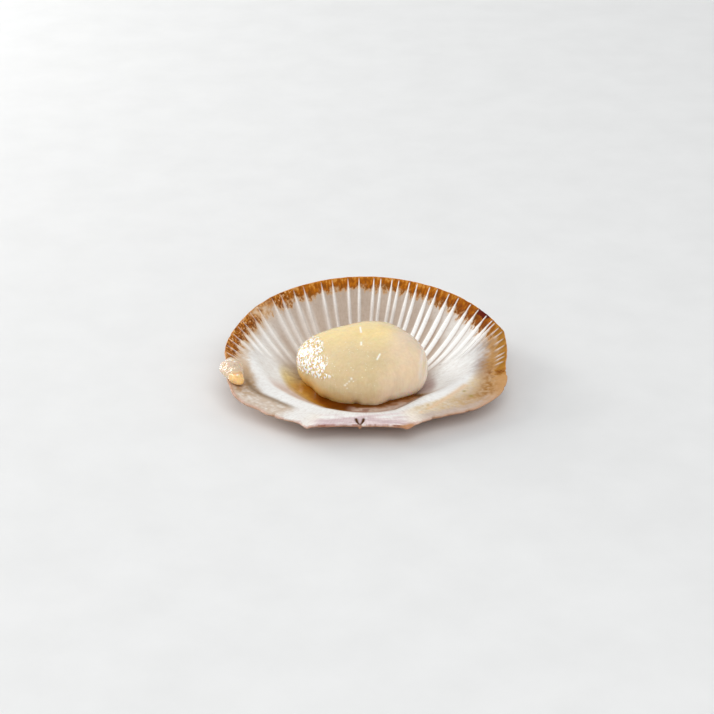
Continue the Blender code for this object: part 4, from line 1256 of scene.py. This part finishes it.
def scrap_finish():
    look = Finish("mantle_flesh", roughness=0.4, coat_weight=1.0, coat_roughness=0.08, coat_ior=1.40,
                  subsurface_weight=0.5, subsurface_scale=MM, subsurface_radius=(2.0, 1.0, 0.5))
    grain = look.noise(look.object_mm(), 1.6, 4.0, 0.6)
    stain = look.between(grain, 0.4, 0.7, 0.0, 0.30)
    tone = look.painted(look.colour("tone"), (rgb(205, 160, 120), stain, "MULTIPLY"))
    wet_bump = look.bump(grain, 0.3 * MM)
    return look.use(base_color=tone, normal=wet_bump, coat_normal=wet_bump)


# Floor, lights and camera.

def make_floor():
    mesh = bpy.data.meshes.new("floor")
    corners = [(FLOOR_HALF * x, FLOOR_HALF * y, 0) for x, y in ((-1, -1), (1, -1), (1, 1), (-1, 1))]
    mesh.from_pydata(corners, [], [(0, 1, 2, 3)])
    look = Finish("floor_matt", roughness=0.7)
    grain = look.noise(look.object_mm(), 0.05, 3.0)
    look.use(base_color=look.ramp(grain, (0.3, (0.72, 0.72, 0.71)), (0.7, (0.75, 0.75, 0.74))))
    mesh.materials.append(look.material)
    floor = put("floor", mesh)


def make_light(name, direction, distance, size, power, colour=(1.0, 1.0, 1.0), mirrored=False):
    light = bpy.data.lights.new(name, "AREA")
    light.shape = "DISK"
    light.size = size
    light.energy = power
    light.color = colour
    lamp = put(name, light)
    away = Vector(direction).normalized()
    lamp.location = Vector(STANCE) + away * distance
    lamp.rotation_euler = away.to_track_quat("Z", "Y").to_euler()
    lamp.visible_glossy = mirrored


def make_studio():
    make_light("key", (-0.85, 0.30, 0.50), 0.9, 0.60, 2.4, (1.0, 0.985, 0.96))
    make_light("back", (0.15, 0.86, 0.55), 1.0, 0.60, 1.0)
    make_light("fill", (0.20, -0.75, 0.85), 1.2, 1.2, 8.0)
    make_light("window", (-0.75, 0.62, 0.22), 0.9, 0.34, 3.6, mirrored=True)
    world = bpy.data.worlds.new("studio")
    bpy.context.scene.world = world
    world.use_nodes = True
    sky = world.node_tree.nodes["Background"]
    sky.inputs["Color"].default_value = (0.95, 0.97, 1.0, 1.0)
    sky.inputs["Strength"].default_value = 0.56


def make_camera():
    lens = bpy.data.cameras.new("camera")
    lens.sensor_fit = "HORIZONTAL"
    lens.angle = CAMERA_ANGLE
    lens.clip_start = 0.01
    camera = put("camera", lens)
    back = Vector((0.0, -cos(CAMERA_RISE), sin(CAMERA_RISE)))
    camera.location = Vector(STANCE - LOOK_BACK) + back * CAMERA_DISTANCE
    camera.rotation_euler = (pi / 2 - CAMERA_RISE, 0.0, 0.0)
    bpy.context.scene.camera = camera


make_valve()
make_meat()
make_juice()
make_scrap()
make_floor()
make_studio()
make_camera()
bpy.context.scene.view_settings.view_transform = "Standard"
